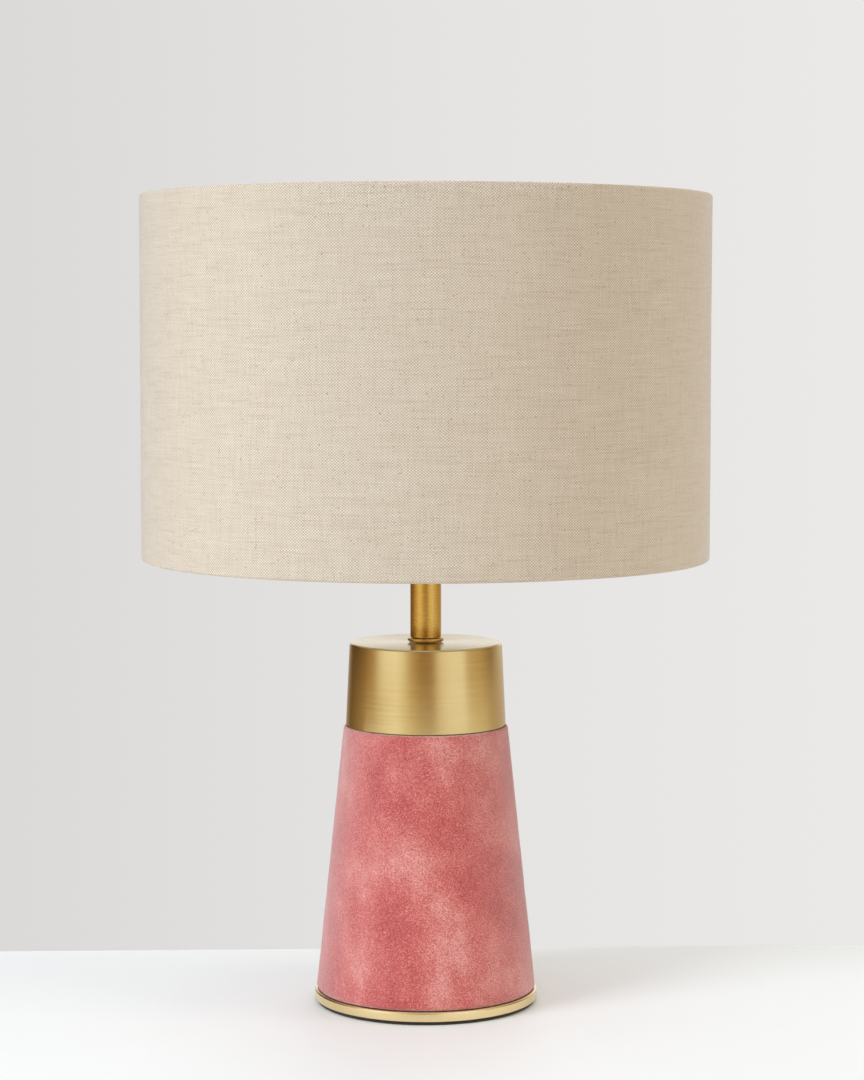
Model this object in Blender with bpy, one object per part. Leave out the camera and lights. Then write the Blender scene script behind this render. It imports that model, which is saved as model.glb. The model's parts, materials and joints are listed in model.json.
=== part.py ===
"""Table lamp with a velvet-covered conical base, brass fittings and a linen drum shade.

The lamp stands on its pad at z = 0 with its axis on +Z. The cord's inlet is at the back, +Y.
Every piece is one closed solid in its own object, and touching pieces are GAP apart.
"""

import math

import bmesh
import bpy
from mathutils import Matrix, Vector

MM = 0.001
GAP = 0.3 * MM

# Driving dimensions of the base, from the table up.
PAD_RADIUS = 58.0 * MM
PAD_THICKNESS = 1.6 * MM
FOOT_RADIUS = 59.4 * MM
FOOT_THICKNESS = 5.1 * MM
CONE_BOTTOM_RADIUS = 58.6 * MM
CONE_TOP_RADIUS = 43.6 * MM
CONE_HEIGHT = 140.8 * MM
VELVET_THICKNESS = 1.0 * MM
CORE_WALL = 9.0 * MM
TOP_DISC_THICKNESS = 3.6 * MM
WEIGHT_RADIUS = 44.0 * MM
WEIGHT_THICKNESS = 13.0 * MM

# Driving dimensions of the cap and the stem.
CAP_BOTTOM_RADIUS = 42.5 * MM
CAP_TOP_RADIUS = 39.1 * MM
CAP_HEIGHT = 43.9 * MM
CAP_WALL = 1.2 * MM
CAP_EDGE_RADIUS = 1.3 * MM
COLLAR_RADIUS = 9.65 * MM
COLLAR_HEIGHT = 2.0 * MM
STEM_RADIUS = 8.2 * MM
STEM_WALL = 1.2 * MM
STEM_TOP = 245.0 * MM
ROD_RADIUS = 5.0 * MM
ROD_BORE_RADIUS = 3.6 * MM

# Driving dimensions of the screw lampholder and the ring that clamps the shade on it.
HOLDER_RADIUS = 19.0 * MM
HOLDER_BASE_HEIGHT = 23.4 * MM
SKIRT_RADIUS = 19.9 * MM
SKIRT_BORE_RADIUS = 15.9 * MM
SKIRT_HEIGHT = 30.0 * MM
SKIRT_FLANGE_RADIUS = 23.5 * MM
SKIRT_FLANGE_HEIGHT = 3.0 * MM
SLEEVE_BORE_RADIUS = 13.9 * MM
SHADE_RING_RADIUS = 28.0 * MM
SHADE_RING_HEIGHT = 9.0 * MM

# Driving dimensions of the shade.
SHADE_RADIUS = 150.0 * MM
SHADE_BOTTOM = 237.0 * MM
SHADE_HEIGHT = 190.5 * MM
LINEN_THICKNESS = 0.6 * MM
LINER_THICKNESS = 0.6 * MM
HEM_DEPTH = 9.0 * MM
WIRE_RADIUS = 1.5 * MM
HUB_RADIUS = 26.0 * MM
HUB_BORE_RADIUS = 21.2 * MM
HUB_THICKNESS = 2.0 * MM
SPOKE_COUNT = 3

# Driving dimensions of the slim screw bulb.
BULB_LENGTH = 100.0 * MM
BULB_RADIUS = 17.5 * MM
BULB_NECK_RADIUS = 12.1 * MM
BULB_CAP_RADIUS = 13.2 * MM
BULB_CAP_HEIGHT = 21.0 * MM
GLASS_THICKNESS = 0.8 * MM
THREAD_PITCH = 3.63 * MM
THREAD_DEPTH = 0.8 * MM
FILAMENT_COUNT = 4

# Driving dimensions of the cord's inlet.
INLET_HEIGHT = 31.0 * MM
GROMMET_BORE_RADIUS = 4.25 * MM
GROMMET_BARREL_RADIUS = 6.0 * MM
GROMMET_FLANGE_RADIUS = 8.6 * MM
GROMMET_FLANGE_THICKNESS = 2.4 * MM

# Heights that follow from the driving dimensions.
FOOT_BOTTOM = PAD_THICKNESS + GAP
FOOT_TOP = FOOT_BOTTOM + FOOT_THICKNESS
CONE_BOTTOM = FOOT_TOP + GAP
CONE_TOP = CONE_BOTTOM + CONE_HEIGHT
CAP_BOTTOM = CONE_TOP + GAP
CAP_TOP = CAP_BOTTOM + CAP_HEIGHT
COLLAR_BOTTOM = CAP_TOP + GAP
COLLAR_TOP = COLLAR_BOTTOM + COLLAR_HEIGHT
HOLDER_BOTTOM = STEM_TOP + GAP
SKIRT_BOTTOM = HOLDER_BOTTOM + HOLDER_BASE_HEIGHT + GAP
SKIRT_TOP = SKIRT_BOTTOM + SKIRT_HEIGHT
HUB_BOTTOM = SKIRT_BOTTOM + SKIRT_FLANGE_HEIGHT + GAP
HUB_TOP = HUB_BOTTOM + HUB_THICKNESS
SHADE_RING_BOTTOM = HUB_TOP + GAP
SHADE_TOP = SHADE_BOTTOM + SHADE_HEIGHT
ROD_HOLE_RADIUS = ROD_RADIUS + GAP

# The insert, the contact's room and the bulb stack up inside the holder.
INSERT_DROP = 1.5 * MM
INSERT_THICKNESS = 9.0 * MM
CONTACT_ROOM = 3.0 * MM
BULB_FOOT_HEIGHT = 5.2 * MM
INSERT_TOP = SKIRT_BOTTOM - INSERT_DROP
BULB_TIP = INSERT_TOP + CONTACT_ROOM
BULB_CAP_BOTTOM = BULB_TIP + BULB_FOOT_HEIGHT
BULB_CAP_TOP = BULB_CAP_BOTTOM + BULB_CAP_HEIGHT

# Number of flat sides that a round piece gets, by its size.
FINE_SIDES = 64
ROUND_SIDES = 48
MEDIUM_SIDES = 24
SMALL_SIDES = 12
SHARP_ANGLE = math.radians(35)


def clear_scene():
    for item in list(bpy.data.objects):
        bpy.data.objects.remove(item, do_unlink=True)


def make_material(name, color, roughness, metallic=0.0, alpha=1.0):
    material = bpy.data.materials.new(name)
    material.use_nodes = True
    shader = material.node_tree.nodes["Principled BSDF"]
    shader.inputs["Base Color"].default_value = (*color, 1.0)
    shader.inputs["Roughness"].default_value = roughness
    shader.inputs["Metallic"].default_value = metallic
    shader.inputs["Alpha"].default_value = alpha
    return material


def make_materials():
    return {
        "velvet": make_material("velvet", (0.60, 0.13, 0.14), 0.85),
        "linen": make_material("linen", (0.66, 0.58, 0.46), 0.90),
        "liner": make_material("liner", (0.86, 0.84, 0.78), 0.55),
        "brass": make_material("brass", (0.72, 0.52, 0.24), 0.32, metallic=1.0),
        "stem_brass": make_material("stem_brass", (0.55, 0.31, 0.09), 0.30, metallic=1.0),
        "plated_steel": make_material("plated_steel", (0.62, 0.61, 0.58), 0.35, metallic=1.0),
        "white_wire": make_material("white_wire", (0.80, 0.79, 0.76), 0.45),
        "wood": make_material("wood", (0.46, 0.33, 0.20), 0.80),
        "cast_iron": make_material("cast_iron", (0.09, 0.09, 0.09), 0.70, metallic=1.0),
        "felt": make_material("felt", (0.030, 0.018, 0.012), 0.95),
        "holder_plastic": make_material("holder_plastic", (0.74, 0.71, 0.63), 0.40),
        "ceramic": make_material("ceramic", (0.82, 0.80, 0.75), 0.25),
        "grommet_plastic": make_material("grommet_plastic", (0.10, 0.07, 0.05), 0.50),
        "glass": make_material("glass", (0.95, 0.97, 0.97), 0.03, alpha=0.25),
        "bulb_metal": make_material("bulb_metal", (0.70, 0.70, 0.70), 0.28, metallic=1.0),
        "filament": make_material("filament", (0.90, 0.62, 0.16), 0.50),
    }


def add_object(name, bm, material):
    """Close the bmesh into a named object with outward faces and smooth shading."""
    bmesh.ops.recalc_face_normals(bm, faces=bm.faces)
    mesh = bpy.data.meshes.new(name)
    bm.to_mesh(mesh)
    bm.free()
    mesh.shade_smooth()
    mesh.set_sharp_from_angle(angle=SHARP_ANGLE)
    mesh.materials.append(material)
    item = bpy.data.objects.new(name, mesh)
    bpy.context.scene.collection.objects.link(item)
    return item


def rounded(corners, steps=3):
    """Turn (r, z, fillet) corners of a closed outline into (r, z) points with arcs at the fillets."""
    points = []
    count = len(corners)
    for index, (r, z, fillet) in enumerate(corners):
        corner = Vector((r, z))
        if fillet == 0:
            points.append((r, z))
            continue
        before = (Vector(corners[index - 1][:2]) - corner).normalized()
        after = (Vector(corners[(index + 1) % count][:2]) - corner).normalized()
        half_angle = before.angle(after) / 2
        tangent_length = fillet / math.tan(half_angle)
        centre = corner + (before + after).normalized() * (fillet / math.sin(half_angle))
        start = corner + before * tangent_length - centre
        sweep = start.angle_signed(corner + after * tangent_length - centre)
        for step in range(steps + 1):
            turned = start.copy()
            turned.rotate(Matrix.Rotation(-sweep * step / steps, 2))
            points.append(tuple(centre + turned))
    return points


def lathe(name, points, sides, material):
    """Spin an (r, z) outline about Z. An outline that never meets the axis is closed into a ring."""
    bm = bmesh.new()
    verts = [bm.verts.new((r, 0, z)) for r, z in points]
    edges = [bm.edges.new(pair) for pair in zip(verts, verts[1:])]
    if min(r for r, _ in points) > 0:
        edges.append(bm.edges.new((verts[-1], verts[0])))
    bmesh.ops.spin(bm, geom=verts + edges, cent=(0, 0, 0), axis=(0, 0, 1), dvec=(0, 0, 0),
                   angle=2 * math.pi, steps=sides, use_merge=True, use_duplicate=False)
    bmesh.ops.remove_doubles(bm, verts=bm.verts, dist=0.001 * MM)
    return add_object(name, bm, material)


def turned_ring(name, corners, sides, material, steps=3):
    return lathe(name, rounded(corners, steps), sides, material)


def plain_ring(name, inner, outer, bottom, top, sides, material, edge=0.0):
    corners = [(inner, bottom, edge), (outer, bottom, edge), (outer, top, edge), (inner, top, edge)]
    return turned_ring(name, corners, sides, material, steps=2)


def round_bar(name, radius, start, end, sides, material):
    """Straight round bar between two points."""
    start = Vector(start)
    end = Vector(end)
    direction = end - start
    turn = direction.to_track_quat("Z", "Y").to_matrix().to_4x4()
    bm = bmesh.new()
    bmesh.ops.create_cone(bm, cap_ends=True, cap_tris=False, segments=sides, radius1=radius,
                          radius2=radius, depth=direction.length)
    bmesh.ops.transform(bm, matrix=Matrix.Translation((start + end) / 2) @ turn, verts=bm.verts)
    return add_object(name, bm, material)


def box(name, low, high, material, bevel=0.0):
    low = Vector(low)
    high = Vector(high)
    size = high - low
    bm = bmesh.new()
    bmesh.ops.create_cube(bm, size=1.0)
    place = Matrix.Translation((low + high) / 2) @ Matrix.Diagonal((*size, 1.0))
    bmesh.ops.transform(bm, matrix=place, verts=bm.verts)
    if bevel > 0:
        bmesh.ops.bevel(bm, geom=bm.edges, offset=bevel, segments=1, affect="EDGES")
    return add_object(name, bm, material)


def cut(target, cutter):
    """Subtract a guide solid, which stays in the file as a hidden wire shape."""
    cutter.hide_render = True
    cutter.display_type = "WIRE"
    boolean = target.modifiers.new("cut_" + cutter.name, "BOOLEAN")
    boolean.operation = "DIFFERENCE"
    boolean.solver = "EXACT"
    boolean.object = cutter


def on_circle(radius, angle, z):
    return Vector((radius * math.cos(angle), radius * math.sin(angle), z))


def cone_radius(z):
    """Outer radius of the velvet at height z."""
    share = (z - CONE_BOTTOM) / CONE_HEIGHT
    return CONE_BOTTOM_RADIUS + share * (CONE_TOP_RADIUS - CONE_BOTTOM_RADIUS)


def core_radius(z):
    return cone_radius(z) - VELVET_THICKNESS - GAP


# --- Base -----------------------------------------------------------------------------------------

FOOT_SCREW_COUNT = 4
FOOT_SCREW_CIRCLE = 52.0 * MM
FOOT_SCREW_RADIUS = 1.9 * MM
FOOT_SCREW_HEAD_RADIUS = 3.4 * MM
FOOT_SCREW_LENGTH = 17.0 * MM
WEIGHT_SCREW_RADIUS = 3.0 * MM
WEIGHT_SCREW_HEAD_RADIUS = 5.6 * MM
WEIGHT_SCREW_LENGTH = 13.0 * MM
SCREW_RECESS = 0.4 * MM
SCREW_HEAD_RIM = 0.4 * MM
GROMMET_OVERHANG = 3.0 * MM


def foot_screw_angles():
    """The screws sit on the diagonals, clear of the inlet at the back."""
    return [math.pi / 4 + turn * 2 * math.pi / FOOT_SCREW_COUNT for turn in range(FOOT_SCREW_COUNT)]


def countersunk_points(head_radius, shank_radius, length, grow=0.0):
    """Outline of a countersunk screw that points up, with its head's face at z = 0."""
    head_depth = head_radius - shank_radius
    start = -grow - SCREW_RECESS if grow > 0 else 0.0
    return [
        (0, start),
        (head_radius + grow, start),
        (head_radius + grow, SCREW_HEAD_RIM),
        (shank_radius + grow, SCREW_HEAD_RIM + head_depth),
        (shank_radius + grow, length + grow),
        (0, length + grow),
    ]


def make_screw(name, position, head_radius, shank_radius, length, material):
    points = countersunk_points(head_radius, shank_radius, length)
    screw = lathe(name, points, SMALL_SIDES, material)
    screw.location = position
    hole_points = countersunk_points(head_radius, shank_radius, length, grow=GAP)
    hole = lathe("hole_for_" + name, hole_points, SMALL_SIDES, material)
    hole.location = position
    return hole


def make_pad(materials):
    corners = [
        (0, 0, 0),
        (PAD_RADIUS, 0, 0.3 * MM),
        (PAD_RADIUS, PAD_THICKNESS, 0.3 * MM),
        (0, PAD_THICKNESS, 0),
    ]
    lathe("base_pad", rounded(corners, 1), ROUND_SIDES, materials["felt"])


def make_foot_plate(materials):
    corners = [
        (0, FOOT_BOTTOM, 0),
        (FOOT_RADIUS, FOOT_BOTTOM, 0.9 * MM),
        (FOOT_RADIUS, FOOT_TOP, 0.9 * MM),
        (0, FOOT_TOP, 0),
    ]
    return lathe("foot_plate", rounded(corners, 2), ROUND_SIDES, materials["brass"])


def make_weight(materials):
    bottom = CONE_BOTTOM
    top = CONE_BOTTOM + WEIGHT_THICKNESS
    corners = [
        (0, bottom, 0),
        (WEIGHT_RADIUS, bottom, 1.0 * MM),
        (WEIGHT_RADIUS, top, 1.5 * MM),
        (0, top, 0),
    ]
    return lathe("base_weight", rounded(corners, 1), MEDIUM_SIDES, materials["cast_iron"])


def make_core(materials):
    top = CONE_TOP - TOP_DISC_THICKNESS - GAP
    points = [
        (core_radius(CONE_BOTTOM) - CORE_WALL, CONE_BOTTOM),
        (core_radius(CONE_BOTTOM), CONE_BOTTOM),
        (core_radius(top), top),
        (core_radius(top) - CORE_WALL, top),
    ]
    return lathe("cone_core", points, ROUND_SIDES, materials["wood"])


def make_top_disc(materials):
    plain_ring("core_top_disc", ROD_HOLE_RADIUS, core_radius(CONE_TOP) - GAP,
               CONE_TOP - TOP_DISC_THICKNESS, CONE_TOP, MEDIUM_SIDES, materials["wood"])


def make_velvet(materials):
    corners = [
        (cone_radius(CONE_BOTTOM) - VELVET_THICKNESS, CONE_BOTTOM, 0),
        (cone_radius(CONE_BOTTOM), CONE_BOTTOM, 0.4 * MM),
        (cone_radius(CONE_TOP), CONE_TOP, 0.6 * MM),
        (cone_radius(CONE_TOP) - VELVET_THICKNESS, CONE_TOP, 0),
    ]
    return turned_ring("velvet_cover", corners, ROUND_SIDES, materials["velvet"], steps=1)


def make_grommet(materials):
    """Bush for the cord, square to the cone's slope, and the tool that opens its hole."""
    slope = math.atan((CONE_BOTTOM_RADIUS - CONE_TOP_RADIUS) / CONE_HEIGHT)
    mouth = Vector((0, cone_radius(INLET_HEIGHT) + GAP, INLET_HEIGHT))
    barrel_end = -(VELVET_THICKNESS + CORE_WALL + GROMMET_OVERHANG)
    corners = [
        (GROMMET_BORE_RADIUS, barrel_end, 0.5 * MM),
        (GROMMET_BARREL_RADIUS, barrel_end, 0.5 * MM),
        (GROMMET_BARREL_RADIUS, 0, 0),
        (GROMMET_FLANGE_RADIUS, 0, 0.3 * MM),
        (GROMMET_FLANGE_RADIUS, GROMMET_FLANGE_THICKNESS, 1.2 * MM),
        (GROMMET_BORE_RADIUS, GROMMET_FLANGE_THICKNESS, 0.8 * MM),
    ]
    grommet = turned_ring("cable_grommet", corners, MEDIUM_SIDES, materials["grommet_plastic"],
                          steps=1)
    hole_radius = GROMMET_BARREL_RADIUS + GAP
    hole = round_bar("grommet_hole", hole_radius, (0, 0, 2 * barrel_end),
                     (0, 0, GROMMET_FLANGE_THICKNESS), MEDIUM_SIDES, materials["grommet_plastic"])
    for item in (grommet, hole):
        item.location = mouth
        item.rotation_euler = (slope - math.pi / 2, 0, 0)
    return hole


def make_base(materials):
    make_pad(materials)
    foot_plate = make_foot_plate(materials)
    weight = make_weight(materials)
    core = make_core(materials)
    make_top_disc(materials)
    velvet = make_velvet(materials)
    inlet = make_grommet(materials)
    cut(core, inlet)
    cut(velvet, inlet)
    head_z = FOOT_BOTTOM + SCREW_RECESS
    for number, angle in enumerate(foot_screw_angles(), start=1):
        hole = make_screw(f"foot_screw_{number}", on_circle(FOOT_SCREW_CIRCLE, angle, head_z),
                          FOOT_SCREW_HEAD_RADIUS, FOOT_SCREW_RADIUS, FOOT_SCREW_LENGTH,
                          materials["plated_steel"])
        cut(foot_plate, hole)
        cut(core, hole)
    hole = make_screw("weight_screw", (0, 0, head_z), WEIGHT_SCREW_HEAD_RADIUS,
                      WEIGHT_SCREW_RADIUS, WEIGHT_SCREW_LENGTH, materials["plated_steel"])
    cut(foot_plate, hole)
    cut(weight, hole)


# --- Cap, stem and the tube that clamps them ------------------------------------------------------

ROD_WASHER_RADIUS = 10.0 * MM
ROD_WASHER_THICKNESS = 1.2 * MM
ROD_NUT_RADIUS = 8.1 * MM
ROD_NUT_HEIGHT = 4.0 * MM
ROD_TAIL = 6.0 * MM
ROD_IN_HOLDER = 7.0 * MM


def make_cap(materials):
    inner_bottom = CAP_BOTTOM_RADIUS - CAP_WALL
    inner_top = CAP_TOP_RADIUS - CAP_WALL
    corners = [
        (inner_bottom, CAP_BOTTOM, 0),
        (CAP_BOTTOM_RADIUS, CAP_BOTTOM, 0.3 * MM),
        (CAP_TOP_RADIUS, CAP_TOP, CAP_EDGE_RADIUS),
        (ROD_HOLE_RADIUS, CAP_TOP, 0),
        (ROD_HOLE_RADIUS, CAP_TOP - CAP_WALL, 0),
        (inner_top, CAP_TOP - CAP_WALL, 0),
    ]
    turned_ring("brass_cap", corners, ROUND_SIDES, materials["brass"], steps=2)


def make_collar(materials):
    groove_depth = 0.9 * MM
    foot_height = 0.2 * MM
    waist = COLLAR_RADIUS - groove_depth
    corners = [
        (ROD_HOLE_RADIUS, COLLAR_BOTTOM, 0),
        (waist, COLLAR_BOTTOM, 0),
        (waist, COLLAR_BOTTOM + foot_height, 0),
        (COLLAR_RADIUS, COLLAR_BOTTOM + foot_height, 0.8 * MM),
        (COLLAR_RADIUS, COLLAR_TOP, 0.9 * MM),
        (ROD_HOLE_RADIUS, COLLAR_TOP, 0),
    ]
    turned_ring("stem_collar", corners, MEDIUM_SIDES, materials["stem_brass"], steps=3)


def make_nut(materials):
    """Hexagonal nut with a round hole, under the washer."""
    top = CONE_TOP - TOP_DISC_THICKNESS - 2 * GAP - ROD_WASHER_THICKNESS
    centre = top - ROD_NUT_HEIGHT / 2
    bm = bmesh.new()
    bmesh.ops.create_cone(bm, cap_ends=True, cap_tris=False, segments=6, radius1=ROD_NUT_RADIUS,
                          radius2=ROD_NUT_RADIUS, depth=ROD_NUT_HEIGHT)
    nut = add_object("rod_nut", bm, materials["plated_steel"])
    nut.location = (0, 0, centre)
    reach = ROD_NUT_HEIGHT
    hole = round_bar("rod_nut_hole", ROD_HOLE_RADIUS, (0, 0, centre - reach),
                     (0, 0, centre + reach), SMALL_SIDES, materials["plated_steel"])
    cut(nut, hole)


def make_stem(materials):
    make_cap(materials)
    make_collar(materials)
    stem_bottom = COLLAR_TOP + GAP
    plain_ring("stem_tube", STEM_RADIUS - STEM_WALL, STEM_RADIUS, stem_bottom, STEM_TOP,
               MEDIUM_SIDES, materials["stem_brass"])
    washer_top = CONE_TOP - TOP_DISC_THICKNESS - GAP
    washer_bottom = washer_top - ROD_WASHER_THICKNESS
    plain_ring("rod_washer", ROD_HOLE_RADIUS, ROD_WASHER_RADIUS, washer_bottom, washer_top,
               SMALL_SIDES, materials["plated_steel"])
    make_nut(materials)
    rod_bottom = washer_bottom - ROD_NUT_HEIGHT - ROD_TAIL
    plain_ring("threaded_rod", ROD_BORE_RADIUS, ROD_RADIUS, rod_bottom,
               HOLDER_BOTTOM + ROD_IN_HOLDER, SMALL_SIDES, materials["plated_steel"])


# --- Lampholder -----------------------------------------------------------------------------------

HOLDER_NECK_RADIUS = 9.5 * MM
HOLDER_NECK_HEIGHT = 4.0 * MM
HOLDER_SHOULDER_HEIGHT = 12.0 * MM
HOLDER_WALL = 2.2 * MM
HOLDER_NECK_WALL = 1.2 * MM
INSERT_CHAMFER = 2.0 * MM
TERMINAL_OFFSET = 11.0 * MM
TERMINAL_SCREW_RADIUS = 2.4 * MM
TERMINAL_SCREW_LENGTH = 5.0 * MM
TERMINAL_SCREW_DROP = 1.0 * MM
CONTACT_LENGTH = 12.0 * MM
CONTACT_WIDTH = 4.0 * MM
CONTACT_THICKNESS = 0.6 * MM
SIDE_CONTACT_INSET = 1.4 * MM
SLEEVE_DROP = 1.0 * MM
RING_RIM_HEIGHT = 3.5 * MM
RING_WALL = 2.2 * MM
RING_WALL_TAPER = 0.4 * MM


def make_holder_base(materials):
    """Cup that screws on the threaded tube: a neck, a flared shoulder and a straight wall."""
    top = HOLDER_BOTTOM + HOLDER_BASE_HEIGHT
    neck_top = HOLDER_BOTTOM + HOLDER_NECK_HEIGHT
    shoulder_top = HOLDER_BOTTOM + HOLDER_SHOULDER_HEIGHT
    corners = [
        (ROD_HOLE_RADIUS, HOLDER_BOTTOM, 0),
        (HOLDER_NECK_RADIUS, HOLDER_BOTTOM, 0.5 * MM),
        (HOLDER_NECK_RADIUS, neck_top, 2 * MM),
        (HOLDER_RADIUS, shoulder_top, 3 * MM),
        (HOLDER_RADIUS, top, 0.4 * MM),
        (HOLDER_RADIUS - HOLDER_WALL, top, 0),
        (HOLDER_RADIUS - HOLDER_WALL, shoulder_top + 0.6 * HOLDER_WALL, 0),
        (HOLDER_NECK_RADIUS - HOLDER_NECK_WALL, neck_top + HOLDER_WALL, 0),
        (ROD_HOLE_RADIUS, neck_top + HOLDER_WALL, 0),
    ]
    turned_ring("holder_base", corners, MEDIUM_SIDES, materials["holder_plastic"], steps=2)


def make_insert(materials):
    """Ceramic block that carries the contacts, with a well for each terminal screw."""
    bottom = INSERT_TOP - INSERT_THICKNESS
    radius = HOLDER_RADIUS - HOLDER_WALL - GAP
    corners = [
        (0, bottom, 0),
        (radius - INSERT_CHAMFER, bottom, 0),
        (radius, bottom + INSERT_CHAMFER, 0),
        (radius, INSERT_TOP, 0.5 * MM),
        (0, INSERT_TOP, 0),
    ]
    insert = lathe("holder_insert", rounded(corners, 1), MEDIUM_SIDES, materials["ceramic"])
    for side, label in ((-1, "live"), (1, "neutral")):
        y = side * TERMINAL_OFFSET
        screw_top = INSERT_TOP - TERMINAL_SCREW_DROP
        screw_bottom = screw_top - TERMINAL_SCREW_LENGTH
        round_bar(f"terminal_screw_{label}", TERMINAL_SCREW_RADIUS, (0, y, screw_bottom),
                  (0, y, screw_top), SMALL_SIDES, materials["plated_steel"])
        well = round_bar(f"terminal_well_{label}", TERMINAL_SCREW_RADIUS + GAP,
                         (0, y, screw_bottom - GAP), (0, y, INSERT_TOP + GAP),
                         SMALL_SIDES, materials["ceramic"])
        cut(insert, well)


def make_contacts(materials):
    """Springy centre leaf on the block's face, and an upright tab for the bulb's screw shell."""
    face = INSERT_TOP + GAP
    half_length = CONTACT_LENGTH / 2
    half_width = CONTACT_WIDTH / 2
    box("centre_contact", (-half_length, -half_width, face),
        (half_length, half_width, face + CONTACT_THICKNESS), materials["brass"])
    tab_outer = SLEEVE_BORE_RADIUS - SIDE_CONTACT_INSET
    box("side_contact", (tab_outer - CONTACT_THICKNESS, -half_width, face),
        (tab_outer, half_width, BULB_CAP_BOTTOM - 2 * GAP), materials["brass"])


def make_skirt(materials):
    """Outer skirt: a flange that the shade's hub rests on, and a threaded wall for the shade ring."""
    flange_top = SKIRT_BOTTOM + SKIRT_FLANGE_HEIGHT
    corners = [
        (SKIRT_BORE_RADIUS, SKIRT_BOTTOM, 0),
        (SKIRT_FLANGE_RADIUS, SKIRT_BOTTOM, 0.6 * MM),
        (SKIRT_FLANGE_RADIUS, flange_top, 0.4 * MM),
        (SKIRT_RADIUS, flange_top, 0),
        (SKIRT_RADIUS, SKIRT_TOP, 0.8 * MM),
        (SKIRT_BORE_RADIUS, SKIRT_TOP, 0.4 * MM),
    ]
    turned_ring("holder_skirt", corners, MEDIUM_SIDES, materials["holder_plastic"], steps=2)
    plain_ring("thread_sleeve", SLEEVE_BORE_RADIUS, SKIRT_BORE_RADIUS - GAP,
               SKIRT_BOTTOM, SKIRT_TOP - SLEEVE_DROP, MEDIUM_SIDES, materials["holder_plastic"])


def make_shade_ring(materials):
    """Ring that screws down on the skirt, with a grip rim at its foot."""
    rim_top = SHADE_RING_BOTTOM + RING_RIM_HEIGHT
    top = SHADE_RING_BOTTOM + SHADE_RING_HEIGHT
    bore = SKIRT_RADIUS + GAP
    corners = [
        (bore, SHADE_RING_BOTTOM, 0),
        (SHADE_RING_RADIUS, SHADE_RING_BOTTOM, 0.5 * MM),
        (SHADE_RING_RADIUS, rim_top, 0.8 * MM),
        (bore + RING_WALL + RING_WALL_TAPER, rim_top, 0),
        (bore + RING_WALL, top, 0.6 * MM),
        (bore, top, 0.4 * MM),
    ]
    turned_ring("shade_ring", corners, MEDIUM_SIDES, materials["holder_plastic"], steps=2)


def make_lampholder(materials):
    make_holder_base(materials)
    make_insert(materials)
    make_contacts(materials)
    make_skirt(materials)
    make_shade_ring(materials)


# --- Shade ----------------------------------------------------------------------------------------

SPOKE_RADIUS = 1.4 * MM
SPOKE_HUB_GAP = 1.0 * MM
WIRE_SIDES = 5
SPOKE_SIDES = 8

# The wires lie inside the turned-in linen, against the liner.
LINER_RADIUS = SHADE_RADIUS - LINEN_THICKNESS - GAP
WIRE_CIRCLE = LINER_RADIUS - LINER_THICKNESS - GAP - WIRE_RADIUS
HEM_RADIUS = WIRE_CIRCLE - WIRE_RADIUS - GAP
LOWER_WIRE_Z = SHADE_BOTTOM + LINEN_THICKNESS + GAP + WIRE_RADIUS
UPPER_WIRE_Z = SHADE_TOP - LINEN_THICKNESS - GAP - WIRE_RADIUS


def make_linen(materials):
    """Linen wall with both edges turned in over the wires as hems."""
    inner = SHADE_RADIUS - LINEN_THICKNESS
    hem_inner = HEM_RADIUS - LINEN_THICKNESS
    bend = 0.9 * MM
    corners = [
        (SHADE_RADIUS, SHADE_BOTTOM, bend),
        (SHADE_RADIUS, SHADE_TOP, bend),
        (hem_inner, SHADE_TOP, bend),
        (hem_inner, SHADE_TOP - HEM_DEPTH, 0),
        (HEM_RADIUS, SHADE_TOP - HEM_DEPTH, 0),
        (HEM_RADIUS, SHADE_TOP - LINEN_THICKNESS, 0),
        (inner, SHADE_TOP - LINEN_THICKNESS, 0),
        (inner, SHADE_BOTTOM + LINEN_THICKNESS, 0),
        (HEM_RADIUS, SHADE_BOTTOM + LINEN_THICKNESS, 0),
        (HEM_RADIUS, SHADE_BOTTOM + HEM_DEPTH, 0),
        (hem_inner, SHADE_BOTTOM + HEM_DEPTH, 0),
        (hem_inner, SHADE_BOTTOM, bend),
    ]
    return turned_ring("shade_linen", corners, FINE_SIDES, materials["linen"], steps=1)


def make_liner(materials):
    plain_ring("shade_liner", LINER_RADIUS - LINER_THICKNESS, LINER_RADIUS,
               SHADE_BOTTOM + LINEN_THICKNESS + GAP, SHADE_TOP - LINEN_THICKNESS - GAP,
               FINE_SIDES, materials["liner"])


def make_wire_ring(name, z, material):
    points = []
    for step in range(WIRE_SIDES):
        angle = 2 * math.pi * step / WIRE_SIDES
        points.append((WIRE_CIRCLE + WIRE_RADIUS * math.cos(angle), z + WIRE_RADIUS * math.sin(angle)))
    lathe(name, points, ROUND_SIDES, material)


def make_spokes(linen, materials):
    """Sloping spokes from the hub down to the lower wire, which the hem is notched to let through."""
    hub_end = Vector((HUB_RADIUS, 0, (HUB_BOTTOM + HUB_TOP) / 2))
    wire_end = Vector((WIRE_CIRCLE, 0, LOWER_WIRE_Z))
    along = (wire_end - hub_end).normalized()
    start = hub_end + along * (GAP + SPOKE_HUB_GAP)
    end = wire_end - along * (WIRE_RADIUS + 3 * GAP)
    notch_start = end - along * (HEM_DEPTH / 2)
    notch_end = end + along * GAP
    for number in range(1, SPOKE_COUNT + 1):
        turn = Matrix.Rotation(math.pi / 2 + 2 * math.pi * number / SPOKE_COUNT, 3, "Z")
        round_bar(f"shade_spoke_{number}", SPOKE_RADIUS, turn @ start, turn @ end, SPOKE_SIDES,
                  materials["white_wire"])
        notch = round_bar(f"spoke_notch_{number}", SPOKE_RADIUS + 2 * GAP, turn @ notch_start,
                          turn @ notch_end, SPOKE_SIDES, materials["linen"])
        cut(linen, notch)


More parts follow.
